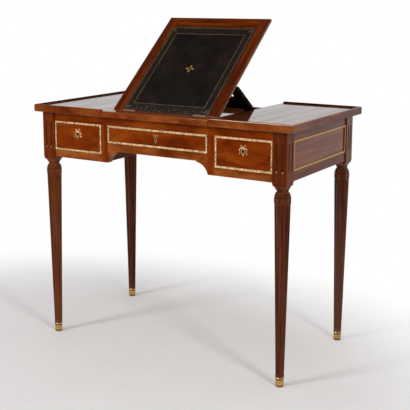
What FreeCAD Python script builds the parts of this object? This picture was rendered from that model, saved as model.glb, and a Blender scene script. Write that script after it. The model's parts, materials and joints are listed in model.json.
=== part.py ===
import FreeCAD, Part
import math
import os
import re
import Sketcher

os.makedirs("parts", exist_ok=True)
doc = FreeCAD.newDocument("ReadingTable")

# Driving sizes, in millimetres and degrees
SIZES = {
    # The top
    "table_width": 900, "table_depth": 480, "table_height": 750,
    "top_thickness": 18, "lip_height": 5, "lip_width": 7, "nosing_radius": 2,
    "side_overhang": 23, "front_overhang": 13, "leaf_reveal": 1.5, "side_gap": 0.5, "seam": 0.3,
    # The case
    "post_side": 44, "frieze_height": 141, "frieze_setback": 5, "panel_setback": 4, "panel_thickness": 14,
    "bottom_rail_height": 22.5, "top_rail_height": 25.5, "rail_depth": 22,
    "centre_bay_width": 354, "centre_bay_rise": 60, "stile_width": 22, "partition_thickness": 12,
    "arch_rise": 36.5, "bracket_width": 38, "bracket_quirk": 3, "bracket_radius": 44,
    "dust_board": 8, "guide_height": 14, "well_depth": 31, "panel_sink": 1.5,
    # The legs and their caps
    "block_drop": 2.5, "step_height": 6, "step_inset": 1,
    "cove_height": 12.5, "cove_side": 38, "cove_waist": 31, "cove_foot": 26,
    "neck_height": 6.5, "neck_radius": 16.6, "collar_height": 5.5, "collar_ease": 0.3,
    "upper_collar_radius": 18.3, "collar_radius": 21, "collar_gap": 2, "band_height": 16, "band_radius": 23.5,
    "shaft_top_radius": 22.6, "shaft_foot_radius": 12, "ankle_height": 4, "ankle_ring": 0.5,
    "flute_count": 12, "flute_top_radius": 4, "flute_foot_radius": 2.2, "flute_margin": 5,
    "post_flute_count": 2, "post_flute_radius": 3.2, "post_flute_pitch": 18,
    "post_flute_rise": 34, "post_flute_drop": 35,
    "cap_height": 30, "cap_floor": 8, "tenon_radius": 9, "cap_toe": 11, "cap_waist": 11.8, "cap_bead": 3.4,
    # The drawers and their locks
    "drawer_gap": 0.5, "front_thickness": 18, "drawer_side": 9, "drawer_bottom": 6, "drawer_back_gap": 32,
    "side_drop": 11, "bottom_rise": 3, "box_inset": 0.5, "lock_rise": 10,
    "lock_width": 46, "lock_below": 13, "lock_thickness": 9, "lock_cap": 2,
    "key_radius": 2.4, "key_slot": 2.4, "key_drop": 6,
    # The brass mouldings and keyhole plates
    "moulding_width": 6.2, "moulding_height": 2.5, "moulding_inset": 0.5, "brass_edge": 0.5,
    "fillet_width": 6, "fillet_height": 2, "fillet_inset": 3.5, "fillet_rise": 27.5, "fillet_drop": 28.5,
    "side_plate_scale": 1, "centre_plate_scale": 0.8, "plate_thickness": 1.2,
    "shield_width": 15, "shield_height": 19, "shield_shoulder": 6, "drop_radius": 1.8,
    "bow_radius": 5.2, "bow_wire": 2, "bow_spread": 8, "bow_rise": 9, "knot_radius": 3.4, "knot_height": 2,
    "tail_root": 6, "tail_reach": 14.5, "tail_drop": 7.5, "tail_width": 2.6, "tail_radius": 16,
    # The slope and its hinges
    "slope_angle": 40, "slope_length": 420, "slope_thickness": 17, "slope_bevel": 9, "edge_round": 1.5,
    "slope_rail": 35, "slope_top_rail": 45, "front_rail": 30, "ground_thickness": 9, "leather_thickness": 1.2,
    "hinge_inset": 3, "hinge_length": 44, "middle_knuckle": 15, "knuckle_gap": 0.5, "knuckle_radius": 2.6,
    "knuckle_room": 0.3, "leaf_thickness": 1.6, "leaf_drop": 14, "pin_radius": 1.2, "pin_clearance": 0.05,
    # The prop, its lugs and the racks
    "prop_along": 140, "prop_angle": 37, "prop_thickness": 11, "prop_gap": 1, "foot_clearance": 1,
    "prop_side_gap": 3, "prop_stile": 30, "prop_rail_from": 56, "prop_rail_width": 56,
    "prop_rail_thickness": 9, "head_rail_from": 8, "head_rail_width": 18,
    "lug_gap": 4, "lug_thickness": 6, "lug_plate": 20, "lug_plate_length": 26, "lug_plate_thickness": 2,
    "trunnion_radius": 3, "trunnion_length": 24, "trunnion_clearance": 0.05, "trunnion_end": 1,
    "eye_radius": 5, "rack_width": 30, "rack_thickness": 5, "rack_teeth": 6, "spare_teeth": 1,
    "tooth_pitch": 20, "notch_depth": 3,
}

# Places that follow from the driving sizes
PLACES = {
    "field_z": "table_height - lip_height",
    "carcass_z": "field_z - top_thickness",
    "apron_z": "carcass_z - frieze_height",
    "post_x": "table_width / 2 - side_overhang - post_side / 2",
    "post_y": "table_depth / 2 - front_overhang - post_side / 2",
    "bay_x": "post_x - post_side / 2",
    "bay_y": "post_y - post_side / 2",
    "face_y": "post_y + post_side / 2 - frieze_setback",
    "rail_back_y": "face_y - rail_depth",
    "side_x": "post_x + post_side / 2 - panel_setback",
    "lining_x": "side_x - panel_thickness",
    "lining_y": "face_y - panel_thickness",
    "opening_top": "carcass_z - top_rail_height",
    "opening_bottom": "apron_z + bottom_rail_height",
    "centre_bay_z": "apron_z + centre_bay_rise",
    "arch_z": "apron_z + arch_rise",
    "stile_x": "centre_bay_width / 2",
    "bay_inner_x": "stile_x + stile_width",
    "partition_x": "bay_inner_x - partition_thickness",
    "drawer_end_y": "lining_y - drawer_back_gap",
    "fillet_z_low": "apron_z + fillet_rise",
    "fillet_z_high": "carcass_z - fillet_drop",
    "block_z": "apron_z - block_drop",
    "step_z": "block_z - step_height",
    "neck_z": "step_z - cove_height",
    "collar_top": "neck_z - neck_height",
    "collar_middle": "collar_top - collar_height",
    "collar_bottom": "collar_middle - collar_height",
    "band_top": "collar_bottom - collar_gap",
    "shaft_top_z": "band_top - band_height",
    "shaft_foot_z": "cap_height + ankle_height",
    "leaf_x": "partition_x - leaf_reveal",
    "slope_x": "leaf_x - side_gap",
    "lined_x": "slope_x - slope_rail",
    "hinge_x": "lined_x - hinge_inset - hinge_length / 2",
    "hinge_y": "table_depth / 2 - slope_length",
    "well_z": "field_z - well_depth",
    "prop_radius": "prop_thickness / 2",
    "pivot_drop": "slope_thickness + prop_gap + prop_radius",
    "tilt": "slope_angle * 1 deg",
    "lean": "prop_angle * 1 deg",
    "pivot_y": "hinge_y + prop_along * cos(tilt) + pivot_drop * sin(tilt)",
    "pivot_z": "field_z + prop_along * sin(tilt) - pivot_drop * cos(tilt)",
    "prop_length": "(pivot_z - well_z - prop_radius - foot_clearance) / sin(lean)",
    "prop_foot_y": "pivot_y + prop_length * cos(lean)",
    "prop_half_width": "slope_x - prop_side_gap",
    "stile_in_x": "prop_half_width - prop_stile",
    "rack_x": "prop_half_width - (prop_stile + rack_width) / 2",
    "lug_x": "stile_in_x - lug_gap",
    "lug_top": "leather_thickness + ground_thickness",
}

WORLD = ("0", "0", "0")
FLAT = ("hinge_y", "field_z", "0")
SLOPE = ("hinge_y", "field_z", "slope_angle")
PROP = ("pivot_y", "pivot_z", "-prop_angle")
TURN_X = FreeCAD.Vector(1, 0, 0)
TURN_Y = FreeCAD.Vector(0, 1, 0)
UPRIGHT = FreeCAD.Vector(0, 0, 1)
TOUCH = 1e-6

sheet = doc.addObject("Spreadsheet::Sheet", "Sizes")
for row, (alias, number) in enumerate(SIZES.items(), start=1):
    sheet.set("A%d" % row, alias)
    sheet.set("B%d" % row, str(number))
    sheet.setAlias("B%d" % row, alias)
doc.recompute()
finished = []


def link(text):
    """Writes the names in an expression as references to the sheet."""
    def swap(match):
        word = match.group()
        if word in PLACES:
            return "(" + link(PLACES[word]) + ")"
        return "Sizes." + word if word in SIZES else word
    return re.sub(r"[a-z_]{3,}", swap, text)


def number_of(text):
    """The present value of an expression."""
    result = sheet.evalExpression(link(text))
    return float(getattr(result, "Value", result))


def minus(span):
    """The span on the other side of the middle plane."""
    return ("-(%s)" % span[1], "-(%s)" % span[0])


def inset(span, by):
    """A span drawn in at both ends."""
    return ("%s + %s" % (span[0], by), "%s - (%s)" % (span[1], by))


def either(side, span):
    """A span of X on the right for 1 and on the left for -1."""
    return span if side > 0 else minus(span)


def finish(piece, name):
    """Names a sub-part and puts it on the list of those written out."""
    piece.Label = name
    finished.append(piece)
    return piece


def place(piece, frame=WORLD, corner=("0", "0", "0"), turned=True):
    """Sets a piece at a corner given in a frame that leans about X."""
    origin_y, origin_z, angle = frame
    x, y, z = corner
    lean = "(%s) * 1 deg" % angle
    if turned and angle != "0":
        piece.Placement = FreeCAD.Placement(FreeCAD.Vector(), FreeCAD.Rotation(TURN_X, 1))
        piece.setExpression("Placement.Rotation.Angle", link(lean))
    piece.setExpression("Placement.Base.x", link(x))
    across = "%s + (%s) * cos(%s) - (%s) * sin(%s)" % (origin_y, y, lean, z, lean)
    up = "%s + (%s) * sin(%s) + (%s) * cos(%s)" % (origin_z, y, lean, z, lean)
    piece.setExpression("Placement.Base.y", link(across))
    piece.setExpression("Placement.Base.z", link(up))


def board(name, x, y, z, frame=WORLD):
    """A squared board between three pairs of limits."""
    box = doc.addObject("Part::Box", name)
    for side, (low, high) in zip(("Length", "Width", "Height"), (x, y, z)):
        box.setExpression(side, link("(%s) - (%s)" % (high, low)))
    place(box, frame, (x[0], y[0], z[0]))
    return box


def rod(name, x, y, z, radius, frame=WORLD):
    """A round bar along X."""
    bar = doc.addObject("Part::Cylinder", name)
    bar.setExpression("Radius", link(radius))
    bar.setExpression("Height", link("(%s) - (%s)" % (x[1], x[0])))
    bar.Placement = FreeCAD.Placement(FreeCAD.Vector(), FreeCAD.Rotation(TURN_Y, 90))
    place(bar, frame, (x[0], y, z), turned=False)
    return bar


def joined(name, pieces):
    """Pieces made into one solid."""
    fusion = doc.addObject("Part::MultiFuse", name)
    fusion.Shapes = pieces
    return fusion


def cut(name, base, tools):
    """A piece with the tools' room taken out of it."""
    result = doc.addObject("Part::Cut", name)
    result.Base = base
    result.Tool = tools[0] if len(tools) == 1 else joined(name + "_room", tools)
    return result


def group(name, pieces):
    """Equal pieces kept as one sub-part."""
    holder = doc.addObject("Part::Compound", name)
    holder.Links = pieces
    return holder


def mirrored(name, piece, normal):
    """The same piece on the other side of a middle plane."""
    copy = doc.addObject("Part::Mirroring", name)
    copy.Source = piece
    copy.Normal = normal
    return copy


def pair(name, piece):
    """A piece on the right with its equal on the left."""
    return group(name, [piece, mirrored(name + "_twin", piece, TURN_X)])


def new_body(name, frame=WORLD, corner=("0", "0", "0")):
    """An empty body in its place."""
    piece = doc.addObject("PartDesign::Body", name)
    place(piece, frame, corner)
    return piece


def datum(piece, role):
    """A plane or axis of the body's own origin."""
    return next(item for item in piece.Origin.OriginFeatures if item.Role == role)


def sketch(piece, plane, offset="0"):
    """An empty sketch on one of the body's planes, moved along its normal."""
    item = piece.newObject("Sketcher::SketchObject", piece.Name + "_sketch")
    item.AttachmentSupport = (datum(piece, plane), [""])
    item.MapMode = "FlatFace"
    item.setExpression("AttachmentOffset.Base.z", link(offset))
    return item


def drive(item, constraint, text):
    """Adds a constraint whose value comes from an expression."""
    index = item.addConstraint(constraint)
    item.setExpression("Constraints[%d]" % index, link(text))


def pin_point(item, geometry, end, x, y):
    """Holds one point of a sketch at two expressions."""
    for kind, axis, text in (("DistanceX", -2, x), ("DistanceY", -1, y)):
        if abs(number_of(text)) < TOUCH:
            item.addConstraint(Sketcher.Constraint("PointOnObject", geometry, end, axis))
        else:
            drive(item, Sketcher.Constraint(kind, -1, 1, geometry, end, number_of(text)), text)


def curve(start, end, radius):
    """The short arc between two points, to the left for a positive radius."""
    chord = end - start
    reach = math.sqrt(max(radius ** 2 - (chord.Length / 2) ** 2, 0))
    left = FreeCAD.Vector(-chord.y, chord.x, 0).normalize()
    centre = (start + end) / 2 + left * math.copysign(reach, radius)
    first, last = (start, end) if radius > 0 else (end, start)
    angles = [math.atan2(p.y - centre.y, p.x - centre.x) for p in (first, last)]
    if angles[1] <= angles[0]:
        angles[1] += 2 * math.pi
    return Part.ArcOfCircle(Part.Circle(centre, UPRIGHT, abs(radius)), angles[0], angles[1])


def outline(item, corners):
    """A closed outline; a corner's third entry is the radius of the arc that leaves it."""
    places = [FreeCAD.Vector(number_of(c[0]), number_of(c[1]), 0) for c in corners]
    ends = []
    for index, corner in enumerate(corners):
        start, end = places[index], places[(index + 1) % len(places)]
        radius = number_of(corner[2]) if len(corner) == 3 else 0
        line = curve(start, end, radius) if radius else Part.LineSegment(start, end)
        geometry = item.addGeometry(line)
        ends.append((geometry, 2, 1) if radius < 0 else (geometry, 1, 2))
        if radius:
            drive(item, Sketcher.Constraint("Radius", geometry, abs(radius)), "abs(%s)" % corner[2])
    for index, (geometry, start, end) in enumerate(ends):
        after, after_start, after_end = ends[(index + 1) % len(ends)]
        item.addConstraint(Sketcher.Constraint("Coincident", geometry, end, after, after_start))
        pin_point(item, geometry, start, corners[index][0], corners[index][1])


def rectangle(item, x, y):
    """A closed outline between two pairs of limits."""
    outline(item, [(x[0], y[0]), (x[1], y[0]), (x[1], y[1]), (x[0], y[1])])


def circle(item, x, y, radius):
    """A circle held by its centre and radius."""
    centre = FreeCAD.Vector(number_of(x), number_of(y), 0)
    geometry = item.addGeometry(Part.Circle(centre, UPRIGHT, number_of(radius)))
    pin_point(item, geometry, 3, x, y)
    drive(item, Sketcher.Constraint("Radius", geometry, number_of(radius)), radius)


def axis_line(item, start, end):
    """A construction line to turn a profile about."""
    places = [FreeCAD.Vector(number_of(p[0]), number_of(p[1]), 0) for p in (start, end)]
    geometry = item.addGeometry(Part.LineSegment(places[0], places[1]), True)
    pin_point(item, geometry, 1, start[0], start[1])
    pin_point(item, geometry, 2, end[0], end[1])


def feature(piece, kind, profile=None):
    """A new feature at the tip of a body."""
    item = piece.newObject("PartDesign::" + kind, piece.Name + "_" + kind.lower())
    if profile:
        item.Profile = profile
    piece.Tip = item
    return item


def pad(piece, profile, length, back=False):
    """Carries a profile along its normal."""
    item = feature(piece, "Pad", profile)
    item.setExpression("Length", link(length))
    item.Reversed = back
    return item


def turn(piece, profile, kind="Revolution", axis=None):
    """Turns a profile all the way round."""
    item = feature(piece, kind, profile)
    item.ReferenceAxis = axis or (datum(piece, "Z_Axis"), [""])
    item.Angle = 360
    return item


def round_edges(piece, base, radius, chosen=None):
    """Rounds the chosen edges of a feature, or all of them."""
    doc.recompute()
    edges = enumerate(base.Shape.Edges, start=1)
    names = ["Edge%d" % number for number, edge in edges if chosen is None or chosen(edge)]
    item = feature(piece, "Fillet")
    item.Base = (base, names)
    item.setExpression("Radius", link(radius))
    return item


def soft_board(name, x, y, z, frame):
    """A board with its edges eased."""
    piece = new_body(name, frame)
    profile = sketch(piece, "XY_Plane", z[0])
    rectangle(profile, x, y)
    base = pad(piece, profile, "(%s) - (%s)" % (z[1], z[0]))
    round_edges(piece, base, "edge_round")
    return finish(piece, name)


def stopped_groove(piece, profile, low, high, low_radius, high_radius):
    """Cuts a flute with rounded ends along a line from low to high."""
    start = (low[0], "%s - %s" % (low[1], low_radius))
    end = (high[0], "%s + %s" % (high[1], high_radius))
    axis_line(profile, start, end)
    outline(profile, [
        start + (low_radius,),
        ("%s + %s" % (low[0], low_radius), low[1]),
        ("%s + %s" % (high[0], high_radius), high[1], high_radius),
        end,
    ])
    return turn(piece, profile, "Groove", (profile, ["Axis0"]))


def repeat(piece, kind, original, axis):
    """A pattern of one feature along or round an axis of the body."""
    item = feature(piece, kind)
    item.Originals = [original]
    if kind == "PolarPattern":
        item.Axis = (datum(piece, axis), [""])
        item.Angle = 360
    else:
        item.Direction = (datum(piece, axis), [""])
    return item


def post_flutes(piece, plane, axis, offset):
    """Upright stopped flutes, evenly spaced on one outer face of a post."""
    spread = "post_flute_pitch * (post_flute_count - 1)"
    low = ("-(%s) / 2" % spread, "apron_z + post_flute_rise")
    high = ("-(%s) / 2" % spread, "carcass_z - post_flute_drop")
    profile = sketch(piece, plane, offset)
    first = stopped_groove(piece, profile, low, high, "post_flute_radius", "post_flute_radius")
    row = repeat(piece, "LinearPattern", first, axis)
    row.setExpression("Length", link(spread))
    row.setExpression("Occurrences", link("post_flute_count"))


def square_cove(piece):
    """The cove under a post, lofted through three squares that draw in downwards."""
    heights = {"cove_side": "step_z", "cove_waist": "neck_z + cove_height / 2", "cove_foot": "neck_z"}
    squares = []
    for side, height in heights.items():
        square = sketch(piece, "XY_Plane", height)
        half = ("-%s / 2" % side, "%s / 2" % side)
        rectangle(square, half, half)
        squares.append(square)
    loft = feature(piece, "AdditiveLoft", squares[0])
    loft.Sections = [(square, [""]) for square in squares[1:]]


def leg(name, side, face):
    """A post with fluted outer faces over a turned, fluted and tapering leg with two collars."""
    piece = new_body(name, corner=("%d * post_x" % side, "%d * post_y" % face, "0"))
    half = ("-post_side / 2", "post_side / 2")
    square = sketch(piece, "XY_Plane", "block_z")
    rectangle(square, half, half)
    pad(piece, square, "carcass_z - block_z")
    inner = inset(half, "step_inset")
    step = sketch(piece, "XY_Plane", "step_z")
    rectangle(step, inner, inner)
    pad(piece, step, "step_height")
    square_cove(piece)
    turned = sketch(piece, "XZ_Plane")
    bead = "collar_height / 2 + collar_ease"
    outline(turned, [
        ("0", "cap_floor"), ("tenon_radius", "cap_floor"), ("tenon_radius", "cap_height"),
        ("shaft_foot_radius + ankle_ring", "cap_height"), ("shaft_foot_radius + ankle_ring", "shaft_foot_z"),
        ("shaft_foot_radius", "shaft_foot_z"), ("shaft_top_radius", "shaft_top_z"),
        ("band_radius", "shaft_top_z"), ("band_radius", "band_top"),
        ("collar_radius", "band_top"), ("collar_radius", "collar_bottom", bead),
        ("collar_radius", "collar_middle"), ("upper_collar_radius", "collar_middle", bead),
        ("upper_collar_radius", "collar_top"), ("neck_radius", "collar_top"),
        ("neck_radius", "neck_z"), ("neck_radius / 2", "neck_z"),
        ("neck_radius / 2", "block_z"), ("0", "block_z"),
    ])
    turn(piece, turned)
    flute = sketch(piece, "XZ_Plane")
    rise = "(shaft_top_radius - shaft_foot_radius) / (shaft_top_z - shaft_foot_z)"
    low_z = "shaft_foot_z + flute_margin + flute_foot_radius"
    high_z = "shaft_top_z - flute_margin - flute_top_radius"
    low = ("shaft_foot_radius + %s * (flute_margin + flute_foot_radius)" % rise, low_z)
    high = ("shaft_top_radius - %s * (flute_margin + flute_top_radius)" % rise, high_z)
    first = stopped_groove(piece, flute, low, high, "flute_foot_radius", "flute_top_radius")
    ring = repeat(piece, "PolarPattern", first, "Z_Axis")
    ring.setExpression("Occurrences", link("flute_count"))
    post_flutes(piece, "XZ_Plane", "X_Axis", "%d * post_side / 2" % -face)
    post_flutes(piece, "YZ_Plane", "Y_Axis", "%d * post_side / 2" % side)
    return finish(piece, name)


def foot_caps():
    """Four turned caps with a bead, each a cup round the foot of its leg."""
    cap = new_body("foot_cap", corner=("post_x", "post_y", "0"))
    profile = sketch(cap, "XZ_Plane")
    rim = "cap_height - cap_bead / 2"
    outline(profile, [
        ("0", "0"), ("cap_toe", "0"), ("cap_waist", "cap_floor / 2"),
        ("cap_waist", "cap_height - 2 * cap_bead", "cap_bead"), ("cap_waist", rim),
        ("shaft_foot_radius", rim), ("shaft_foot_radius", "cap_height"),
        ("tenon_radius", "cap_height"), ("tenon_radius", "cap_floor"), ("0", "cap_floor"),
    ])
    turn(cap, profile)
    front_and_back = group("foot_cap_pair", [cap, mirrored("foot_cap_twin", cap, TURN_Y)])
    return finish(pair("foot_caps", front_and_back), "foot_caps")


def case_boards():
    """The boards of the case behind the frieze."""
    depth = ("-rail_back_y", "lining_y")
    upright = ("apron_z", "carcass_z")
    finish(board("back_panel", ("-bay_x", "bay_x"), ("lining_y", "face_y"), upright), "back_panel")
    floor = ("opening_bottom - dust_board", "opening_bottom")
    outer_floor = board("dust_board_bay", ("bay_inner_x", "bay_x"), depth, floor)
    inner_floor = ("centre_bay_z - dust_board", "centre_bay_z")
    middle = board("dust_board_centre", ("-partition_x", "partition_x"), depth, inner_floor)
    floors = [middle, outer_floor, mirrored("dust_board_twin", outer_floor, TURN_X)]
    finish(group("dust_boards", floors), "dust_boards")
    guides = []
    for side, word in ((-1, "left"), (1, "right")):
        partition = board("partition_" + word, either(side, ("partition_x", "bay_inner_x")), depth, upright)
        finish(partition, "partition_" + word)
        outer_x = either(side, ("bay_x", "lining_x"))
        outer_z = ("opening_bottom - dust_board", "opening_bottom + guide_height")
        guides.append(board("outer_guide", outer_x, ("-bay_y", "bay_y"), outer_z))
        inner_x = either(side, ("stile_x - drawer_gap", "partition_x"))
        inner_z = ("centre_bay_z", "centre_bay_z + guide_height")
        guides.append(board("inner_guide", inner_x, depth, inner_z))
    finish(group("drawer_guides", guides), "drawer_guides")


def side_panel(side, word):
    """An end panel whose framed field is a little sunk."""
    name = "side_panel_" + word
    depth = ("-bay_y", "bay_y")
    outer = board(name + "_board", either(side, ("lining_x", "side_x")), depth, ("apron_z", "carcass_z"))
    sunk = either(side, ("side_x - panel_sink", "side_x + panel_sink"))
    within = inset(("fillet_z_low", "fillet_z_high"), "fillet_width")
    field = board(name + "_field", sunk, inset(depth, "fillet_inset + fillet_width"), within)
    return finish(cut(name, outer, [field]), name)


def frieze():
    """The front rails and stiles round the three drawers."""
    depth = ("-face_y", "-rail_back_y")
    finish(board("top_rail", ("-bay_x", "bay_x"), depth, ("opening_top", "carcass_z")), "top_rail")
    for side, word in ((-1, "left"), (1, "right")):
        span = either(side, ("stile_x", "bay_inner_x"))
        finish(board("stile_" + word, span, depth, ("apron_z", "opening_top")), "stile_" + word)
    rail = board("bottom_rail", ("bay_inner_x", "bay_x"), depth, ("apron_z", "opening_bottom"))
    finish(pair("bottom_rails", rail), "bottom_rails")


def arch_rail():
    """The rail over the kneehole, cut with a hollow bracket at each end."""
    piece = new_body("arch_rail")
    profile = sketch(piece, "XZ_Plane", "rail_back_y")
    shoulder = "stile_x - bracket_width"
    outline(profile, [
        ("-stile_x", "centre_bay_z"), ("-stile_x", "apron_z", "-bracket_radius"),
        ("-(%s)" % shoulder, "arch_z - bracket_quirk"), ("-(%s)" % shoulder, "arch_z"),
        (shoulder, "arch_z"), (shoulder, "arch_z - bracket_quirk", "-bracket_radius"),
        ("stile_x", "apron_z"), ("stile_x", "centre_bay_z"),
    ])
    pad(piece, profile, "rail_depth")
    return finish(piece, "arch_rail")


def leaf(side, word):
    """A side leaf of the top."""
    name = "leaf_" + word
    span = ("leaf_x", "table_width / 2 - lip_width")
    depth = ("lip_width - table_depth / 2", "table_depth / 2 - lip_width")
    return finish(board(name, either(side, span), depth, ("carcass_z", "field_z")), name)


def lip(side, word):
    """The raised edging round three sides of a leaf, mitred at the corners."""
    piece = new_body("lip_" + word)
    path = sketch(piece, "XY_Plane", "carcass_z")
    out_x = "%d * (table_width / 2 - lip_width)" % side
    near_x = "%d * leaf_x" % side
    back_y = "table_depth / 2 - lip_width"
    corners = [(near_x, "-(%s)" % back_y), (out_x, "-(%s)" % back_y), (out_x, back_y), (near_x, back_y)]
    for index in range(3):
        places = [FreeCAD.Vector(number_of(c[0]), number_of(c[1]), 0) for c in corners[index:index + 2]]
        path.addGeometry(Part.LineSegment(places[0], places[1]))
        pin_point(path, index, 1, corners[index][0], corners[index][1])
        if index:
            path.addConstraint(Sketcher.Constraint("Coincident", index - 1, 2, index, 1))
    pin_point(path, 2, 2, corners[3][0], corners[3][1])
    profile = sketch(piece, "YZ_Plane", near_x)
    edge = "-(table_depth / 2)"
    outline(profile, [
        ("-(%s)" % back_y, "carcass_z"), ("-(%s)" % back_y, "table_height - lip_width / 2", "lip_width / 2"),
        (edge + " + lip_width / 2", "table_height", "lip_width / 2"),
        (edge, "table_height - lip_width / 2"), (edge, "carcass_z + nosing_radius", "nosing_radius"),
        (edge + " + nosing_radius", "carcass_z"),
    ])
    sweep = feature(piece, "AdditivePipe", profile)
    sweep.Spine = (path, ["Edge1", "Edge2", "Edge3"])
    sweep.Transition = "Right corner"
    return finish(piece, "lip_" + word)


def knuckle_room(name, frame):
    """The room round one hinge's barrel and leaf, on both sides of the seam."""
    span = ("hinge_x - hinge_length / 2 - knuckle_room", "hinge_x + hinge_length / 2 + knuckle_room")
    barrel = rod(name + "_barrel", span, "0", "0", "knuckle_radius + knuckle_room", frame)
    reach = "seam + leaf_thickness"
    leaf_span = ("hinge_x - hinge_length / 2", "hinge_x + hinge_length / 2")
    bed = board(name + "_bed", leaf_span, ("-(%s)" % reach, reach), ("-leaf_drop", "0"), frame)
    right = joined(name + "_right", [barrel, bed])
    return right, mirrored(name + "_left", right, TURN_X)


def front_strip():
    """The fixed strip in front of the slope, let in for the two hinges."""
    piece = new_body("front_strip_board")
    profile = sketch(piece, "YZ_Plane", "-leaf_x")
    edge = "-(table_depth / 2)"
    outline(profile, [
        ("hinge_y - seam", "carcass_z"), ("hinge_y - seam", "field_z"),
        (edge + " + nosing_radius", "field_z", "nosing_radius"), (edge, "field_z - nosing_radius"),
        (edge, "carcass_z + nosing_radius", "nosing_radius"), (edge + " + nosing_radius", "carcass_z"),
    ])
    pad(piece, profile, "2 * leaf_x")
    return finish(cut("front_strip", piece, list(knuckle_room("strip_room", FLAT))), "front_strip")


def hinge_leaves(name, frame, side, spans, web_spans):
    """One half of the slope's two hinges: a leaf in the seam with its knuckles."""
    inner = "%d * seam" % side
    outer = "%d * (seam + leaf_thickness)" % side
    depth = (inner, outer) if side > 0 else (outer, inner)
    clear = "knuckle_radius + 2 * knuckle_room"
    whole = ("hinge_x - hinge_length / 2", "hinge_x + hinge_length / 2")
    pieces = [board(name + "_leaf", whole, depth, ("-leaf_drop", "-(%s)" % clear), frame)]
    bores = []
    for index, span in enumerate(spans):
        pieces.append(rod("%s_knuckle_%d" % (name, index), span, "0", "0", "knuckle_radius", frame))
        web = ("-(%s) - leaf_thickness" % clear, "-knuckle_radius / 2")
        pieces.append(board("%s_web_%d" % (name, index), web_spans[index], depth, web, frame))
        bores.append(rod("%s_bore_%d" % (name, index), span, "0", "0", "pin_radius + pin_clearance", frame))
    half = cut(name + "_right", joined(name + "_solid", pieces), bores)
    return finish(pair(name, half), name)


def slope_hinges():
    """Two three-knuckle butts whose axis lies at the surface of the top."""
    low, high = "hinge_x - hinge_length / 2", "hinge_x + hinge_length / 2"
    half = "middle_knuckle / 2"
    middle = ("hinge_x - " + half, "hinge_x + " + half)
    outers = [(low, "hinge_x - %s - knuckle_gap" % half), ("hinge_x + %s + knuckle_gap" % half, high)]
    hinge_leaves("hinge_fixed", FLAT, -1, outers, outers)
    hinge_leaves("hinge_moving", SLOPE, 1, [middle], [middle])
    pin = rod("hinge_pin", (low, high), "0", "0", "pin_radius", FLAT)
    finish(pair("hinge_pins", pin), "hinge_pins")


def slope_side_rail(side, word):
    """A side rail of the slope, bevelled below so that its outer edge is thin."""
    name = "slope_rail_" + word
    piece = new_body(name, SLOPE)
    profile = sketch(piece, "XZ_Plane", "-slope_length")
    inner, outer = "%d * lined_x" % side, "%d * slope_x" % side
    bevelled = "%d * (slope_x - slope_bevel)" % side
    outline(profile, [
        (inner, "-slope_thickness"), (bevelled, "-slope_thickness"),
        (outer, "slope_bevel - slope_thickness"), (outer, "0"), (inner, "0"),
    ])
    base = pad(piece, profile, "slope_length - seam")
    round_edges(piece, base, "edge_round")
    return finish(piece, name)


def slope_boards():
    """The raised slope: four rails, the ground board and its leather."""
    thickness = ("-slope_thickness", "0")
    for side, word in ((-1, "left"), (1, "right")):
        slope_side_rail(side, word)
    lined = ("-lined_x", "lined_x")
    lined_end = "slope_length - slope_top_rail"
    soft_board("slope_rail_top", lined, (lined_end, "slope_length"), thickness, SLOPE)
    below = ("-slope_thickness", "-leather_thickness")
    rail = board("slope_rail_front_board", lined, ("seam", "front_rail"), below, SLOPE)
    finish(cut("slope_rail_front", rail, list(knuckle_room("rail_room", SLOPE))), "slope_rail_front")
    ground_z = ("-lug_top", "-leather_thickness")
    ground = board("slope_ground", lined, ("front_rail", lined_end), ground_z, SLOPE)
    finish(ground, "slope_ground")
    sheet_z = ("-leather_thickness", "0")
    hide = board("slope_leather_sheet", lined, ("seam", lined_end), sheet_z, SLOPE)
    finish(cut("slope_leather", hide, list(knuckle_room("leather_room", SLOPE))), "slope_leather")


def prop_lugs():
    """Two lugs under the slope, each with the trunnion that a prop stile turns on."""
    middle = ("prop_along - eye_radius", "prop_along + eye_radius")
    web_x = ("lug_x - lug_thickness", "lug_x")
    plate_y = ("prop_along - lug_plate_length / 2", "prop_along + lug_plate_length / 2")
    plate_z = ("-lug_top - lug_plate_thickness", "-lug_top")
    plate = board("lug_plate", ("lug_x - lug_plate", "lug_x"), plate_y, plate_z, SLOPE)
    web = board("lug_web", web_x, middle, ("-pivot_drop", "-lug_top - lug_plate_thickness / 2"), SLOPE)
    eye = rod("lug_eye", web_x, "prop_along", "-pivot_drop", "eye_radius", SLOPE)
    trunnion_x = ("lug_x - lug_thickness", "lug_x + trunnion_length")
    trunnion = rod("lug_trunnion", trunnion_x, "prop_along", "-pivot_drop", "trunnion_radius", SLOPE)
    return finish(pair("prop_lugs", joined("prop_lug", [plate, web, eye, trunnion])), "prop_lugs")


def prop_stile(side, word):
    """A prop stile, rounded at the pivot and at the foot."""
    piece = new_body("prop_stile_%s_bar" % word, PROP)
    span = either(side, ("stile_in_x", "prop_half_width"))
    profile = sketch(piece, "YZ_Plane", span[0])
    outline(profile, [
        ("0", "-prop_radius"), ("prop_length", "-prop_radius", "prop_radius"),
        ("prop_length + prop_radius", "0", "prop_radius"), ("prop_length", "prop_radius"),
        ("0", "prop_radius", "prop_radius"), ("-prop_radius", "0", "prop_radius"),
    ])
    pad(piece, profile, "prop_stile")
    reach = either(side, ("lug_x", "lug_x + trunnion_length + trunnion_end"))
    bore = rod("prop_bore_" + word, reach, "0", "0", "trunnion_radius + trunnion_clearance", PROP)
    return finish(cut("prop_stile_" + word, piece, [bore]), "prop_stile_" + word)


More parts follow.
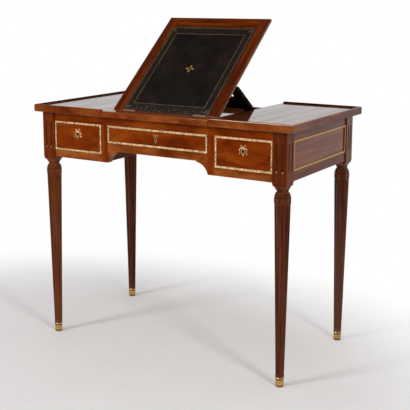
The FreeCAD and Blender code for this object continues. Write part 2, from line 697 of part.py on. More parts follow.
def prop_rails():
    """The two rails between the prop's stiles."""
    span = ("-stile_in_x", "stile_in_x")
    half = ("-prop_rail_thickness / 2", "prop_rail_thickness / 2")
    foot = board("prop_rail_foot", span, ("prop_rail_from", "prop_rail_from + prop_rail_width"), half, PROP)
    finish(foot, "prop_rail_foot")
    head = board("prop_rail_head", span, ("head_rail_from", "head_rail_from + head_rail_width"), half, PROP)
    finish(head, "prop_rail_head")


def well():
    """The floor of the well under the slope, with a toothed rack let in for each stile."""
    across = ("rack_x", "rack_x + rack_width")
    first = "prop_foot_y - tooth_pitch * (rack_teeth - spare_teeth - 1 / 2)"
    last = "prop_foot_y + tooth_pitch * (spare_teeth + 1 / 2)"
    bed = board("rack_bed", across, (first, last), ("well_z - rack_thickness", "well_z"))
    depth = ("-rail_back_y", "lining_y")
    floor = board("well_board", ("-partition_x", "partition_x"), depth, ("well_z - dust_board", "well_z"))
    finish(cut("well_floor", floor, [bed, mirrored("rack_bed_twin", bed, TURN_X)]), "well_floor")
    rack = new_body("rack")
    bar = sketch(rack, "YZ_Plane", across[0])
    corners = [(first, "well_z - rack_thickness"), (last, "well_z - rack_thickness"), (last, "well_z")]
    for tooth in range(round(number_of("rack_teeth"))):
        root = "prop_foot_y + tooth_pitch * (spare_teeth - %d)" % tooth
        corners.append((root + " + notch_depth", "well_z"))
        corners.append((root, "well_z - notch_depth"))
        corners.append((root + " - notch_depth", "well_z"))
    corners.append((first, "well_z"))
    outline(bar, corners)
    pad(rack, bar, "rack_width")
    finish(pair("prop_racks", rack), "prop_racks")


def framed_moulding(name, face, x, y, section):
    """A mitred brass frame standing on a face, with its outer edges rounded."""
    plane, offset = face
    width, height = section
    piece = new_body(name)
    profile = sketch(piece, plane, offset)
    rectangle(profile, x, y)
    rectangle(profile, inset(x, width), inset(y, width))
    base = pad(piece, profile, height)
    reach = number_of(offset) + number_of(height)
    axis = "y" if plane == "XZ_Plane" else "x"

    def outermost(edge):
        return all(abs(abs(getattr(v.Point, axis)) - reach) < TOUCH for v in edge.Vertexes)

    round_edges(piece, base, "%s - brass_edge" % height, outermost)
    return piece


def side_fillets():
    """A brass fillet frame on each end panel."""
    depth = inset(("-bay_y", "bay_y"), "fillet_inset")
    height = ("fillet_z_low", "fillet_z_high")
    section = ("fillet_width", "fillet_height")
    right = framed_moulding("side_fillet", ("YZ_Plane", "side_x"), depth, height, section)
    return finish(pair("side_fillets", right), "side_fillets")


def keyhole(name, x, z):
    """The room of a keyhole, from before a drawer front to the back plate of its lock."""
    start = "-face_y - front_thickness / 2"
    end = "front_thickness - lock_cap - face_y"
    drill = doc.addObject("Part::Cylinder", name + "_round")
    drill.setExpression("Radius", link("key_radius"))
    drill.setExpression("Height", link("(%s) - (%s)" % (end, start)))
    drill.Placement = FreeCAD.Placement(FreeCAD.Vector(), FreeCAD.Rotation(TURN_X, -90))
    place(drill, WORLD, (x, start, z), turned=False)
    slot_x = ("%s - key_slot / 2" % x, "%s + key_slot / 2" % x)
    slot = board(name + "_slot", slot_x, (start, end), ("%s - key_drop" % z, z))
    return joined(name, [drill, slot])


def bow_and_tail(piece, x, z, side, scale, tails):
    """One loop of the ribbon bow, with the tail that curls out below it."""
    loop = sketch(piece, "XZ_Plane", "face_y")
    centre = ("%s + %d * bow_spread * %s" % (x, side, scale), "%s + bow_rise * %s" % (z, scale))
    circle(loop, centre[0], centre[1], "bow_radius * " + scale)
    circle(loop, centre[0], centre[1], "(bow_radius - bow_wire) * " + scale)
    pad(piece, loop, "plate_thickness")
    if tails:
        curl = "%d * tail_radius" % side
        root = "%s + %d * tail_root" % (x, side)
        outer = "%s + %d * tail_reach" % (x, side)
        inner = "%s + %d * (tail_reach - tail_width)" % (x, side)
        tail = sketch(piece, "XZ_Plane", "face_y")
        outline(tail, [
            (root, z + " + tail_width", "-" + curl), (outer, z + " - tail_drop"),
            (inner, z + " - tail_drop - tail_width / 2", curl), (root, z + " - tail_width"),
        ])
        pad(piece, tail, "plate_thickness")


def escutcheon(name, x, z, scale, tails):
    """A pierced plate: a pointed shield round the keyhole, hung from a ribbon bow."""
    piece = new_body(name + "_plate")
    top = "%s + shield_shoulder * %s" % (z, scale)
    tip = "%s - shield_height * %s" % (top, scale)
    half = "shield_width * %s / 2" % scale
    shield = sketch(piece, "XZ_Plane", "face_y")
    outline(shield, [
        ("%s - %s" % (x, half), top, "shield_height * " + scale), (x, tip, "shield_height * " + scale),
        ("%s + %s" % (x, half), top, "shield_width * " + scale),
    ])
    pad(piece, shield, "plate_thickness")
    for side in (-1, 1):
        bow_and_tail(piece, x, z, side, scale, tails)
    for height, radius in (("%s + bow_rise * %s" % (z, scale), "knot_radius"), (tip, "drop_radius")):
        boss = sketch(piece, "XZ_Plane", "face_y")
        circle(boss, x, height, "%s * %s" % (radius, scale))
        pad(piece, boss, "knot_height")
    return finish(cut(name, piece, [keyhole(name + "_keyhole", x, z)]), name)


def drawer_front(name, x, z, middle, lock_z):
    """A drawer front with its lock let into the back of it, level with the top edge."""
    back = "front_thickness - face_y"
    lock_x = ("%s - lock_width / 2" % middle, "%s + lock_width / 2" % middle)
    lock_box = (lock_x, (back + " - lock_thickness", back), (lock_z + " - lock_below", z[1]))
    front = board(name + "_front_board", x, ("-face_y", back), z)
    room = [keyhole(name + "_keyhole", middle, lock_z), board(name + "_lock_room", *lock_box)]
    finish(cut(name + "_front", front, room), name + "_front")
    lock = board(name + "_lock_case", *lock_box)
    finish(cut(name + "_lock", lock, [keyhole(name + "_lock_keyhole", middle, lock_z)]), name + "_lock")


def drawer_box(name, x, z):
    """The two sides, back and bottom behind a drawer front."""
    low, high = inset(x, "box_inset")
    length = ("front_thickness - face_y", "drawer_end_y")
    height = (z[0], z[1] + " - side_drop")
    near = board(name + "_side_low", (low, low + " + drawer_side"), length, height)
    far = board(name + "_side_high", (high + " - drawer_side", high), length, height)
    finish(group(name + "_sides", [near, far]), name + "_sides")
    inside = inset((low, high), "drawer_side")
    rise = z[0] + " + bottom_rise"
    behind = length[1] + " - drawer_side"
    finish(board(name + "_back", inside, (behind, length[1]), (rise, height[1])), name + "_back")
    floor = (rise, rise + " + drawer_bottom")
    finish(board(name + "_bottom", inside, (length[0], behind), floor), name + "_bottom")


def drawer(word, x, bottom, middle, lock_z, scale):
    """A drawer with its front, lock, box, brass moulding and keyhole plate."""
    name = "drawer_" + word
    z = (bottom + " + drawer_gap", "opening_top - drawer_gap")
    drawer_front(name, x, z, middle, lock_z)
    drawer_box(name, x, z)
    section = ("moulding_width", "moulding_height")
    edge_x, edge_z = inset(x, "moulding_inset"), inset(z, "moulding_inset")
    moulding = framed_moulding(name + "_moulding", ("XZ_Plane", "face_y"), edge_x, edge_z, section)
    finish(moulding, name + "_moulding")
    escutcheon(name + "_escutcheon", middle, lock_z, scale, tails=word != "centre")


def drawers():
    """A deep drawer each side and a shallow one over the kneehole."""
    clear = inset(("bay_inner_x", "bay_x"), "drawer_gap")
    side_lock = "(opening_top + opening_bottom) / 2 + lock_rise"
    for side, word in ((-1, "left"), (1, "right")):
        middle = "%d * (bay_inner_x + bay_x) / 2" % side
        drawer(word, either(side, clear), "opening_bottom", middle, side_lock, "side_plate_scale")
    span = inset(("-stile_x", "stile_x"), "drawer_gap")
    drawer("centre", span, "centre_bay_z", "0", "(opening_top + centre_bay_z) / 2", "centre_plate_scale")


def check(piece):
    """Stops the build if a sub-part is not a sound solid."""
    if "Invalid" in piece.State or "Error" in piece.State:
        raise RuntimeError(piece.Label + " failed to build")
    if piece.Shape.isNull() or not piece.Shape.isValid() or not piece.Shape.Solids:
        raise RuntimeError(piece.Label + " is not a sound solid")


for side, across in ((-1, "left"), (1, "right")):
    leg("leg_front_" + across, side, -1)
    leg("leg_back_" + across, side, 1)
    side_panel(side, across)
    leaf(side, across)
    lip(side, across)
    prop_stile(side, across)
foot_caps()
case_boards()
frieze()
arch_rail()
side_fillets()
front_strip()
slope_hinges()
slope_boards()
prop_lugs()
prop_rails()
well()
drawers()
doc.recompute()
for item in finished:
    check(item)
    item.Shape.exportStep(os.path.join("parts", item.Label + ".step"))
print(len(finished), "sub-parts written")
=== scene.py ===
# %% [markdown]
# # A reading table with a rising slope
# The real table is mahogany on four fluted legs. Its drawers are framed in stamped brass, and a slope
# lined with tooled leather rises from the middle of the top on a folding prop.
# The solids come in as a fixed frame at their real size. This lesson gives every surface its finish, and
# remakes the few pieces whose relief is finer than the solids: the beaded mouldings, the keyhole plates
# and the leather with its gilt tooling.

# %% Load the frame
import bmesh
import bpy
import json
import math
import numpy as np
from functools import partial
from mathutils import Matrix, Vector


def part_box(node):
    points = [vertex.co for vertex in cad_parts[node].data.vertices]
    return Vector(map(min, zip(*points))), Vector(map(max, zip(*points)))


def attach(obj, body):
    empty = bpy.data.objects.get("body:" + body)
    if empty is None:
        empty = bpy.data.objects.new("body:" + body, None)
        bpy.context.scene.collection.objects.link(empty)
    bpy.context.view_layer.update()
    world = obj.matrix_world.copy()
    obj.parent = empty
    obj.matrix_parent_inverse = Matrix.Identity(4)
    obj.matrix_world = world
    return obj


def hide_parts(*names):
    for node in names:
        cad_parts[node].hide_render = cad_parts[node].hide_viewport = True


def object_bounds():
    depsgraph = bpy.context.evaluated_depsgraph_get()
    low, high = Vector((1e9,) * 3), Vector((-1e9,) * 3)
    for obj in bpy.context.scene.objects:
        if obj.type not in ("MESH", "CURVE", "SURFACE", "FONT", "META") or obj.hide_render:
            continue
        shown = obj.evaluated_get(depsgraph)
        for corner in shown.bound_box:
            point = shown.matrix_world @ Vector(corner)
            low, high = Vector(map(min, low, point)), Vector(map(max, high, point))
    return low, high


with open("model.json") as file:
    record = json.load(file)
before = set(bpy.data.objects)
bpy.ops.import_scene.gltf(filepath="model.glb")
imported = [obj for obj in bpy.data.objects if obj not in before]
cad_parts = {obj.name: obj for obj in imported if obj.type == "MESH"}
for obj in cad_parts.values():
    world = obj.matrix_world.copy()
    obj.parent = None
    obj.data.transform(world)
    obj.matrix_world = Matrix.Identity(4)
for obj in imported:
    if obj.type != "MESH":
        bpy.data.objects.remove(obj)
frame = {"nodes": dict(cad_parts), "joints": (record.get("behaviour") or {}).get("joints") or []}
nodes = frame["nodes"]
scene = bpy.context.scene
CAD_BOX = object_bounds()

# %% [markdown]
# ## The camera
# The photograph was taken from the sitter's right, a little above the top, with a long lens. A camera can
# be turned by angles, but an eye point and a point that it looks at are easier to check against the room.
# The lens shift keeps the uprights as they are in the picture, as a view camera does.

# %% Camera
def new_object(name, data, where=(0, 0, 0), aim=None):
    """Puts an object into the scene; aim is the point that a camera or lamp looks at."""
    item = bpy.data.objects.new(name, data)
    item.location = where
    if aim:
        item.rotation_euler = (Vector(aim) - Vector(where)).to_track_quat("-Z", "Y").to_euler()
    scene.collection.objects.link(item)
    return item


EYE = (1.4547, -2.3317, 1.0811)
LOOK_AT = (0.0058, -0.0004, 0.6042)
LENS_MM, SENSOR_MM = 78.12, 36.0
LENS_SHIFT = (0.0181, -0.1302)

camera_data = bpy.data.cameras.new("camera")
camera_data.lens = LENS_MM
camera_data.sensor_width = SENSOR_MM
camera_data.shift_x, camera_data.shift_y = LENS_SHIFT
scene.camera = new_object("camera", camera_data, EYE, LOOK_AT)
scene.view_settings.view_transform = "Standard"
print("camera stands", round(math.dist(EYE, LOOK_AT), 2), "m from the table")

# %% [markdown]
# ## Small helpers for node trees
# Every material below is a tree of nodes. Short helpers keep the trees readable: one adds a node and fills
# its sockets with numbers or links, and the others wrap the nodes that come up all the time.

# %% Node helpers
def fill(tree, sockets, values):
    """Links other nodes' outputs to sockets, and sets numbers and colours on the sockets themselves."""
    for label, value in values.items():
        if isinstance(value, bpy.types.NodeSocket):
            tree.links.new(value, sockets[label])
        else:
            sockets[label].default_value = value


def add(tree, kind, inputs=(), **settings):
    """Adds a shader node, with its settings first and its inputs after them."""
    item = tree.nodes.new("ShaderNode" + kind)
    for key, value in settings.items():
        setattr(item, key, value)
    fill(tree, item.inputs, dict(inputs))
    return item


def number(operation, tree, *values, clamp=False):
    """The output of a Math node."""
    return add(tree, "Math", enumerate(values), operation=operation, use_clamp=clamp).outputs[0]


def vector(tree, operation, *values):
    """The output of a Vector Math node."""
    item = add(tree, "VectorMath", enumerate(values), operation=operation)
    return item.outputs["Value" if operation in ("LENGTH", "DOT_PRODUCT") else "Vector"]


def step(tree, value, low, high, to_low=0.0, to_high=1.0):
    """A smooth step: to_low below low, to_high above high."""
    limits = {"Value": value, "From Min": low, "From Max": high, "To Min": to_low, "To Max": to_high}
    return add(tree, "MapRange", limits, interpolation_type="SMOOTHSTEP").outputs[0]


SUMS = ("ADD", "SUBTRACT", "MULTIPLY", "MAXIMUM", "MINIMUM", "ABSOLUTE")
plus, minus, times, larger, smaller, magnitude = (partial(number, kind) for kind in SUMS)
print("short helpers for", ", ".join(SUMS).lower())

# %% [markdown]
# ## The studio
# The table stands on a pale sweep that runs into a white wall. A painted backdrop would do, but a world that
# is white to the camera is simpler. Polished wood and brass mirror the room, so the world is also white to
# glossy rays towards the wall, and greyer down towards the sweep. Overhead and on the sitter's side the room
# is not lit, and there the mirror image is dim. To all other rays the world is one even lamp.

# %% World
AMBIENT = 0.58
DIM_ROOM = 0.03
SWEEP_GREY = 0.5
WALL_STARTS = (-0.35, 0.25)
WALL_ENDS = (0.35, 0.75)
SWEEP_ENDS = (-0.30, 0.02)

world = bpy.data.worlds.new("studio")
world.use_nodes = True
scene.world = world
tree = world.node_tree
tree.nodes.clear()
rays = add(tree, "LightPath").outputs
direction = add(tree, "TexCoord").outputs["Generated"]
towards = add(tree, "SeparateXYZ", {"Vector": direction}).outputs
behind_table = step(tree, towards["Y"], *WALL_STARTS)
below_ceiling = step(tree, towards["Z"], *WALL_ENDS, 1.0, 0.0)
above_sweep = step(tree, towards["Z"], *SWEEP_ENDS, SWEEP_GREY, 1.0)
wall = times(tree, times(tree, behind_table, below_ceiling), above_sweep)
mirrored_room = larger(tree, wall, DIM_ROOM)
room, lamp, backdrop = (add(tree, "Background", {"Color": (1, 1, 1, 1), "Strength": strength}).outputs[0]
                        for strength in (mirrored_room, AMBIENT, 1.0))
indirect = add(tree, "MixShader", {0: rays["Is Glossy Ray"], 1: lamp, 2: room}).outputs[0]
everything = add(tree, "MixShader", {0: rays["Is Camera Ray"], 1: indirect, 2: backdrop}).outputs[0]
add(tree, "OutputWorld", {"Surface": everything})
print("world:", len(tree.nodes), "nodes")

# %% [markdown]
# Every finish is blended from clouds of noise and from colours that are written as a screen shows them.

# %% Noise, colour and new materials
def noise(tree, place, scale, detail=2.0, roughness=0.5, distortion=0.0, output="Fac"):
    """A cloud of values about one half."""
    settings = {"Vector": place, "Scale": scale, "Detail": detail, "Roughness": roughness}
    return add(tree, "TexNoise", {**settings, "Distortion": distortion}).outputs[output]


def mixed(tree, factor, first, second, mode="MIX"):
    """Two colours blended by a factor."""
    item = add(tree, "Mix", data_type="RGBA", blend_type=mode)
    fill(tree, item.inputs, {0: factor, 6: first, 7: second})
    return item.outputs[2]


def tone(red, green, blue):
    """A colour written as it looks on a screen, 0 to 255, as the linear colour that shaders use."""
    screen = np.array((red, green, blue)) / 255
    linear = np.where(screen <= 0.04045, screen / 12.92, ((screen + 0.055) / 1.055) ** 2.4)
    return (*linear.tolist(), 1.0)


def new_material(name):
    """An empty material, its tree and the sockets of its Principled shader."""
    material = bpy.data.materials.new(name)
    material.use_nodes = True
    return material, material.node_tree, material.node_tree.nodes["Principled BSDF"].inputs


print("half grey on a screen is", round(tone(128, 128, 128)[0], 3), "to a shader")

# %% [markdown]
# The sweep is matt painted board, faintly mottled and trodden. A sheet of it would end somewhere; here it
# turns see-through with the distance from a point in front of the table, and the white world shows.

# %% Floor
FLOOR_CENTRE = (-0.17, -0.70, 0.0)
FLOOR_FADE = (0.88, 1.56)
FLOOR_HALF = 2.5
FLOOR_ROUGHNESS = 0.75
TRODDEN = (4.0, 22.0, 1.0)
STREAK_SHARE = 0.3
PAINT, PALER_PAINT, SCUFFED_PAINT = tone(235, 233, 232), tone(245, 243, 243), tone(223, 220, 218)

sweep, tree, shader = new_material("pale_sweep")
place = add(tree, "TexCoord").outputs["Object"]
away = vector(tree, "LENGTH", vector(tree, "SUBTRACT", place, FLOOR_CENTRE))
streaks = noise(tree, vector(tree, "MULTIPLY", place, TRODDEN), 2.0, 5.0, 0.7, 0.6)
streaks = step(tree, streaks, 0.52, 0.76, 0.0, STREAK_SHARE)
specks = step(tree, noise(tree, place, 95.0, 3.0, 0.6), 0.60, 0.75)
paint = mixed(tree, noise(tree, place, 3.0, 4.0), PAINT, PALER_PAINT)
paint = mixed(tree, larger(tree, streaks, specks), paint, SCUFFED_PAINT)
fade = step(tree, away, *FLOOR_FADE, 1.0, 0.0)
fill(tree, shader, {"Base Color": paint, "Roughness": FLOOR_ROUGHNESS, "Alpha": fade})
corners = np.array(((-1, -1, 0), (1, -1, 0), (1, 1, 0), (-1, 1, 0))) * FLOOR_HALF
floor_mesh = bpy.data.meshes.new("floor")
floor_mesh.from_pydata(corners.tolist(), [], [(0, 1, 2, 3)])
floor_mesh.materials.append(sweep)
floor = new_object("floor", floor_mesh)
print("floor fades to white between", FLOOR_FADE, "m")

# %% [markdown]
# A soft box stands well in front on the sitter's left, and a weaker one to the right, which is why each
# leg throws two faint shadows. Most of the light comes from the white room itself. A white card hangs
# high in front and shows only as glints in the polish of rounded edges. Area lamps suit all three,
# because their size sets how soft a shadow or how wide a glint is.

# %% Lamps
LAMPS = {
    "left_box": ((-2.2, -4.0, 2.9), 0.9, 77.0),
    "right_box": ((3.2, -1.7, 2.4), 0.6, 40.0),
    "glint_card": ((-0.6, -2.4, 3.0), 1.8, 118.0),
}
LAMPS_AIM = (0, 0, 0.6)
for name, (where, size, watts) in LAMPS.items():
    lamp_data = bpy.data.lights.new(name, "AREA")
    lamp_data.size = size
    lamp_data.energy = watts
    lamp_object = new_object(name, lamp_data, where, LAMPS_AIM)
    lamp_object.visible_diffuse = name != "glint_card"
print(len(LAMPS), "lamps")

# %% [markdown]
# ## Timber
# Mahogany shows four things at four scales, all drawn out along the board: a slow flame of light and
# dark, dark flecks that come in crowds, fine fibre, and short pores. Each material could draw its own,
# but one node group makes the four from noise in metres, stretched along X, and each material turns its
# coordinates so that X lies along its grain.

# %% Timber group
FIBRE_SIZE = (0.09, 0.0011, 0.0011)
FLECK_SIZE = (0.016, 0.0045, 0.0045)
PORE_SIZE = (0.008, 0.0005, 0.0005)
WANDER = 0.014
FIBRE_RISE = 0.4


def new_group(name, inputs, outputs):
    """An empty node group with named sockets."""
    tree = bpy.data.node_groups.new(name, "ShaderNodeTree")
    for label, kind, value in inputs:
        socket = tree.interface.new_socket(label, in_out="INPUT", socket_type="NodeSocket" + kind)
        if value is not None:
            socket.default_value = value
    for label, kind in outputs:
        tree.interface.new_socket(label, in_out="OUTPUT", socket_type="NodeSocket" + kind)
    return tree, tree.nodes.new("NodeGroupInput").outputs, tree.nodes.new("NodeGroupOutput").inputs


timber, source, result = new_group(
    "timber",
    [("Vector", "Vector", None), ("Flame size", "Vector", (0.09, 0.022, 0.022))],
    [("Flame", "Float"), ("Flecks", "Float"), ("Fibre", "Float"), ("Pores", "Float"), ("Height", "Float")],
)
drift = noise(timber, source["Vector"], 7.0, output="Color")
drift = vector(timber, "SUBTRACT", drift, (0.5, 0.5, 0.5))
grain = vector(timber, "ADD", source["Vector"], vector(timber, "MULTIPLY", drift, (0.0, WANDER, WANDER)))
flame = noise(timber, vector(timber, "DIVIDE", grain, source["Flame size"]), 1.0, 3.0, 0.5, 0.3)
fleck = noise(timber, vector(timber, "DIVIDE", grain, FLECK_SIZE), 1.0, 2.0)
crowd = step(timber, noise(timber, grain, 24.0, 1.0), 0.42, 0.62)
fibre = noise(timber, vector(timber, "DIVIDE", grain, FIBRE_SIZE), 1.0, 3.0)
pores = step(timber, noise(timber, vector(timber, "DIVIDE", grain, PORE_SIZE), 1.0, 1.0), 0.60, 0.72)
height = minus(timber, times(timber, fibre, FIBRE_RISE), pores)
flecks = times(timber, step(timber, fleck, 0.54, 0.70), crowd)
flame = step(timber, flame, 0.22, 0.78)
fill(timber, result, {"Flame": flame, "Flecks": flecks, "Fibre": fibre, "Pores": pores, "Height": height})
print("timber group:", len(timber.nodes), "nodes")

# %% [markdown]
# Old polish wears through along the edges. On the wood the corners are darkened with painted shade and
# some grime, and on brass they tarnish. The Bevel node looks a little way round each point: where its
# rounded normal leaves the true one there is an edge. Ambient occlusion finds the corners. Both work on any
# mesh, so one group serves wood and brass.

# %% Wear group
wear, source, result = new_group(
    "wear",
    [("Radius", "Float", 0.0015), ("Reach", "Float", 0.02), ("Vector", "Vector", None)],
    [("Edge", "Float"), ("Corner", "Float"), ("Normal", "Vector")],
)
rounded = add(wear, "Bevel", {"Radius": source["Radius"]}, samples=4).outputs["Normal"]
straight = add(wear, "NewGeometry").outputs["Normal"]
agreement = vector(wear, "DOT_PRODUCT", rounded, straight)
edge = step(wear, minus(wear, 1.0, agreement), 0.01, 0.18)
patchy = step(wear, noise(wear, source["Vector"], 60.0, 3.0), 0.35, 0.65, 0.35, 1.0)
open_sky = add(wear, "AmbientOcclusion", {"Distance": source["Reach"]}, samples=6).outputs["AO"]
corner = minus(wear, 1.0, open_sky)
fill(wear, result, {"Edge": times(wear, edge, patchy), "Corner": corner, "Normal": rounded})
print("wear group:", len(wear.nodes), "nodes")

# %% [markdown]
# ## Mahogany
# A joiner lays the grain along each board, and veneers every piece from its own leaf. UV maps could carry
# that, but the boards are straight, so turned coordinates with a shift for each object do it for all.

# %% Where the grain runs
QUARTER = math.pi / 2
SLOPE_LEAN = math.radians(40)
PROP_LEAN = math.radians(37)
GRAIN_TURNS = {
    "x": (0.0, 0.0, 0.0),
    "y": (0.0, 0.0, -QUARTER),
    "z": (0.0, QUARTER, 0.0),
    "slope": (-SLOPE_LEAN, 0.0, -QUARTER),
    "prop": (PROP_LEAN, 0.0, -QUARTER),
}
BOARD_SPREAD = 5.6


def board_place(tree, turn):
    """Object coordinates turned so that X lies along the grain, with every board cut from its own place."""
    place = add(tree, "TexCoord").outputs["Object"]
    start = times(tree, add(tree, "ObjectInfo").outputs["Random"], BOARD_SPREAD)
    shifted = vector(tree, "ADD", place, add(tree, "CombineXYZ", {0: start, 1: start, 2: start}).outputs[0])
    return add(tree, "Mapping", {"Vector": shifted, "Rotation": GRAIN_TURNS[turn]}).outputs["Vector"]


def object_axes(tree):
    """X, Y and Z of a point in Object coordinates."""
    return add(tree, "SeparateXYZ", {"Vector": add(tree, "TexCoord").outputs["Object"]}).outputs


def edge_distances(tree):
    """How far a point lies inside the table top's ends and inside its long edges, and its height."""
    place = object_axes(tree)
    from_end = minus(tree, CAD_BOX[1][0], magnitude(tree, place["X"]))
    from_side = minus(tree, CAD_BOX[1][1], magnitude(tree, place["Y"]))
    return from_end, from_side, place["Z"]


print("grain directions:", ", ".join(GRAIN_TURNS))

# %% [markdown]
# One function makes a mahogany from three tones, and is called for each way that the grain runs and for
# each kind of board. The polish is a clear coat over the wood, so the wood keeps its colour and the coat
# does the mirroring. Painted shade and dirt darken the colour, and they dull the coat as well.

# %% Mahogany
FLAME_STOPS = (0.08, 0.50, 0.95)
PORES, RUBBED_EDGE = 0.4, 0.4
# Painted shade: the corners, creases and gaps that ambient occlusion finds are darkened, with some grime.
CORNER_SHADE_AND_GRIME, CORNER_SHADE_LIMITS, CORNER_SHADE_REACH, DULLING = 0.80, (0.28, 0.85), 0.009, 1.5
POLISH_ROUGHNESS = 0.06
REDDER, RICHER_GLOSS = (1.08, 0.80, 0.45, 1.0), 0.8
# Painted highlight: the pale tone of the glints at the flutes' rounded feet.
FLUTE_GLINT_TONE = tone(184, 150, 128)
GRAIN_RELIEF = {"Strength": 0.12, "Distance": 0.0004}


def use_group(tree, group, inputs):
    """The outputs of a group that is placed in a material."""
    return add(tree, "Group", inputs, node_tree=group).outputs


def ramp(tree, factor, stops):
    """A colour picked from stops of (place, colour)."""
    item = add(tree, "ValToRGB", {"Fac": factor})
    while len(item.color_ramp.elements) < len(stops):
        item.color_ramp.elements.new(0.5)
    for element, (place, colour) in zip(item.color_ramp.elements, stops):
        element.position = place
        element.color = colour
    return item.outputs["Color"]


def wood(name, turn, tones, flame_size, polish, streak=0.28, flecks=0.0, shade=None, rich=None, painted_glint=None):
    """A timber of dark, middle and light screen tones; polish is the weight of its clear coat.

    streak and flecks are how strongly those show. The last three, if given, make masks in the tree: where
    the wood is darkened with painted shade and with dirt, where it is redder and glossier, and where a pale
    highlight is painted.
    """
    material, tree, shader = new_material(name)
    if turn == "mitred":
        from_end, from_side, _ = edge_distances(tree)
        at_end = number("LESS_THAN", tree, from_end, from_side)
        place = mixed(tree, at_end, board_place(tree, "x"), board_place(tree, "y"))
    else:
        place = board_place(tree, turn)
    figure = use_group(tree, timber, {"Vector": place, "Flame size": flame_size})
    worn = use_group(tree, wear, {"Vector": place, "Reach": CORNER_SHADE_REACH})
    dark, middle, light = (tone(*screen) for screen in tones)
    black = tuple(0.25 * channel for channel in dark[:3]) + (1.0,)
    colour = ramp(tree, figure["Flame"], list(zip(FLAME_STOPS, (dark, middle, light))))
    thin, thick = (1 + streak / 2,) * 3 + (1,), (1 - streak,) * 3 + (1,)
    lines = ramp(tree, figure["Fibre"], [(0.28, thick), (0.72, thin)])
    colour = mixed(tree, 1.0, colour, lines, "MULTIPLY")
    if flecks:
        colour = mixed(tree, times(tree, figure["Flecks"], flecks), colour, dark)
    colour = mixed(tree, times(tree, figure["Pores"], PORES), colour, dark)
    colour = mixed(tree, times(tree, worn["Edge"], RUBBED_EDGE), colour, light)
    # Painted shade with some grime, in the corners, creases and gaps that ambient occlusion finds.
    dirt = times(tree, step(tree, worn["Corner"], *CORNER_SHADE_LIMITS), CORNER_SHADE_AND_GRIME)
    colour = mixed(tree, dirt, colour, black)
    gloss = times(tree, polish, step(tree, figure["Flame"], 0.2, 0.8, 0.86, 1.0))
    if shade:
        shaded = shade(tree)
        colour = mixed(tree, shaded, colour, black)
        dirt = larger(tree, dirt, shaded)
    if rich:
        richness = rich(tree)
        colour = mixed(tree, richness, colour, REDDER, "MULTIPLY")
        gloss = number("MULTIPLY_ADD", tree, times(tree, gloss, richness), RICHER_GLOSS, gloss)
    # Painted highlight: pale spots where the flutes' rounded feet would catch the light.
    if painted_glint:
        colour = mixed(tree, painted_glint(tree), colour, FLUTE_GLINT_TONE)
    clean = minus(tree, 1.0, number("POWER", tree, dirt, DULLING))
    rough = plus(tree, 0.40, times(tree, figure["Fibre"], 0.18))
    relief = add(tree, "Bump", {"Height": figure["Height"], "Normal": worn["Normal"], **GRAIN_RELIEF})
    fill(tree, shader, {
        "Base Color": colour, "Roughness": rough, "Normal": relief.outputs[0], "Specular IOR Level": 0.0,
        "Coat Weight": times(tree, gloss, clean), "Coat Roughness": POLISH_ROUGHNESS,
    })
    return material


print("corners darken within", CORNER_SHADE_REACH, "m")

# %% [markdown]
# Cloths never reach everywhere. The inside of the raised lip is nearly black with painted shade and old
# dirt, and its end face is darker. A thin dark line along both edges of each brass strip is painted
# shade with dirt. Dirt has blackened the seam beside the slope and the rails round each end panel. It could
# be painted on by hand, but each place is a distance from an edge of the top or from a brass frame, so its
# mask is worked out from that distance.

# %% Dirt on the wood
DRAWERS = ("left", "centre", "right")
STRIP_WIDTH = 0.0062
LEAF_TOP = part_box("leaf_right")[1][2]
# Painted shade with old dirt on the lip's inner face; its end face is made darker.
LIP_FACE, LIP_FOOT, LIP_SHADE_AND_DIRT = (0.0030, 0.0055), (LEAF_TOP + 0.0002, LEAF_TOP + 0.0012), 0.98
TO_SEAM, SEAM_DIRT = CAD_BOX[1][0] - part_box("lip_right")[0][0], 0.9
END_FACE, END_DARKENING = (0.0004, 0.0010), 0.42
# The line beside each brass strip is painted shade with dirt; the panel rails are darkened by dirt.
PANEL_RAIL_DIRT, STRIP_SHADE_AND_DIRT = 0.35, 0.7


def inside_lip(tree):
    """The lip's inner face, dark with painted shade and dirt, its darker end face, and the seam beside the
    slope.
    """
    from_end, from_side, height = edge_distances(tree)
    inward = step(tree, smaller(tree, from_end, from_side), *LIP_FACE)
    inner = times(tree, inward, step(tree, height, *LIP_FOOT, 0.0, LIP_SHADE_AND_DIRT))
    seam = step(tree, from_end, TO_SEAM - 0.0024, TO_SEAM - 0.0006, 0.0, SEAM_DIRT)
    end = step(tree, from_end, *END_FACE, END_DARKENING, 0.0)
    return larger(tree, larger(tree, inner, seam), end)


def past_frame(tree, node, axes):
    """How far a point lies outside a node's box along two axes; inside the box it is negative."""
    low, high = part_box(node)
    place = object_axes(tree)
    past = []
    for axis in axes:
        off_middle = minus(tree, place[axis], (low[axis] + high[axis]) / 2)
        half = (high[axis] - low[axis]) / 2
        past.append(minus(tree, magnitude(tree, off_middle), half))
    return larger(tree, *past)


def round_panel(tree):
    """The darker rails round the sunk panel of each side: everything outside its brass fillet."""
    outside = number("GREATER_THAN", tree, past_frame(tree, "side_fillets", (1, 2)), 0.0)
    return times(tree, outside, PANEL_RAIL_DIRT)


def least(tree, first, *others):
    """The smallest of several values."""
    for value in others:
        first = smaller(tree, first, value)
    return first


def round_mouldings(tree):
    """A thin dark line along both edges of each brass strip: painted shade beside the raised strip, with old
    dirt.
    """
    from_middles = []
    for word in DRAWERS:
        past = past_frame(tree, "drawer_%s_moulding" % word, (0, 2))
        from_middles.append(magnitude(tree, plus(tree, past, STRIP_WIDTH / 2)))
    starts, ends = STRIP_WIDTH / 2 + 0.0004, STRIP_WIDTH / 2 + 0.0020
    return step(tree, least(tree, *from_middles), starts, ends, STRIP_SHADE_AND_DIRT, 0.0)


print("the seam lies", round(TO_SEAM, 4), "m from the end of the top")

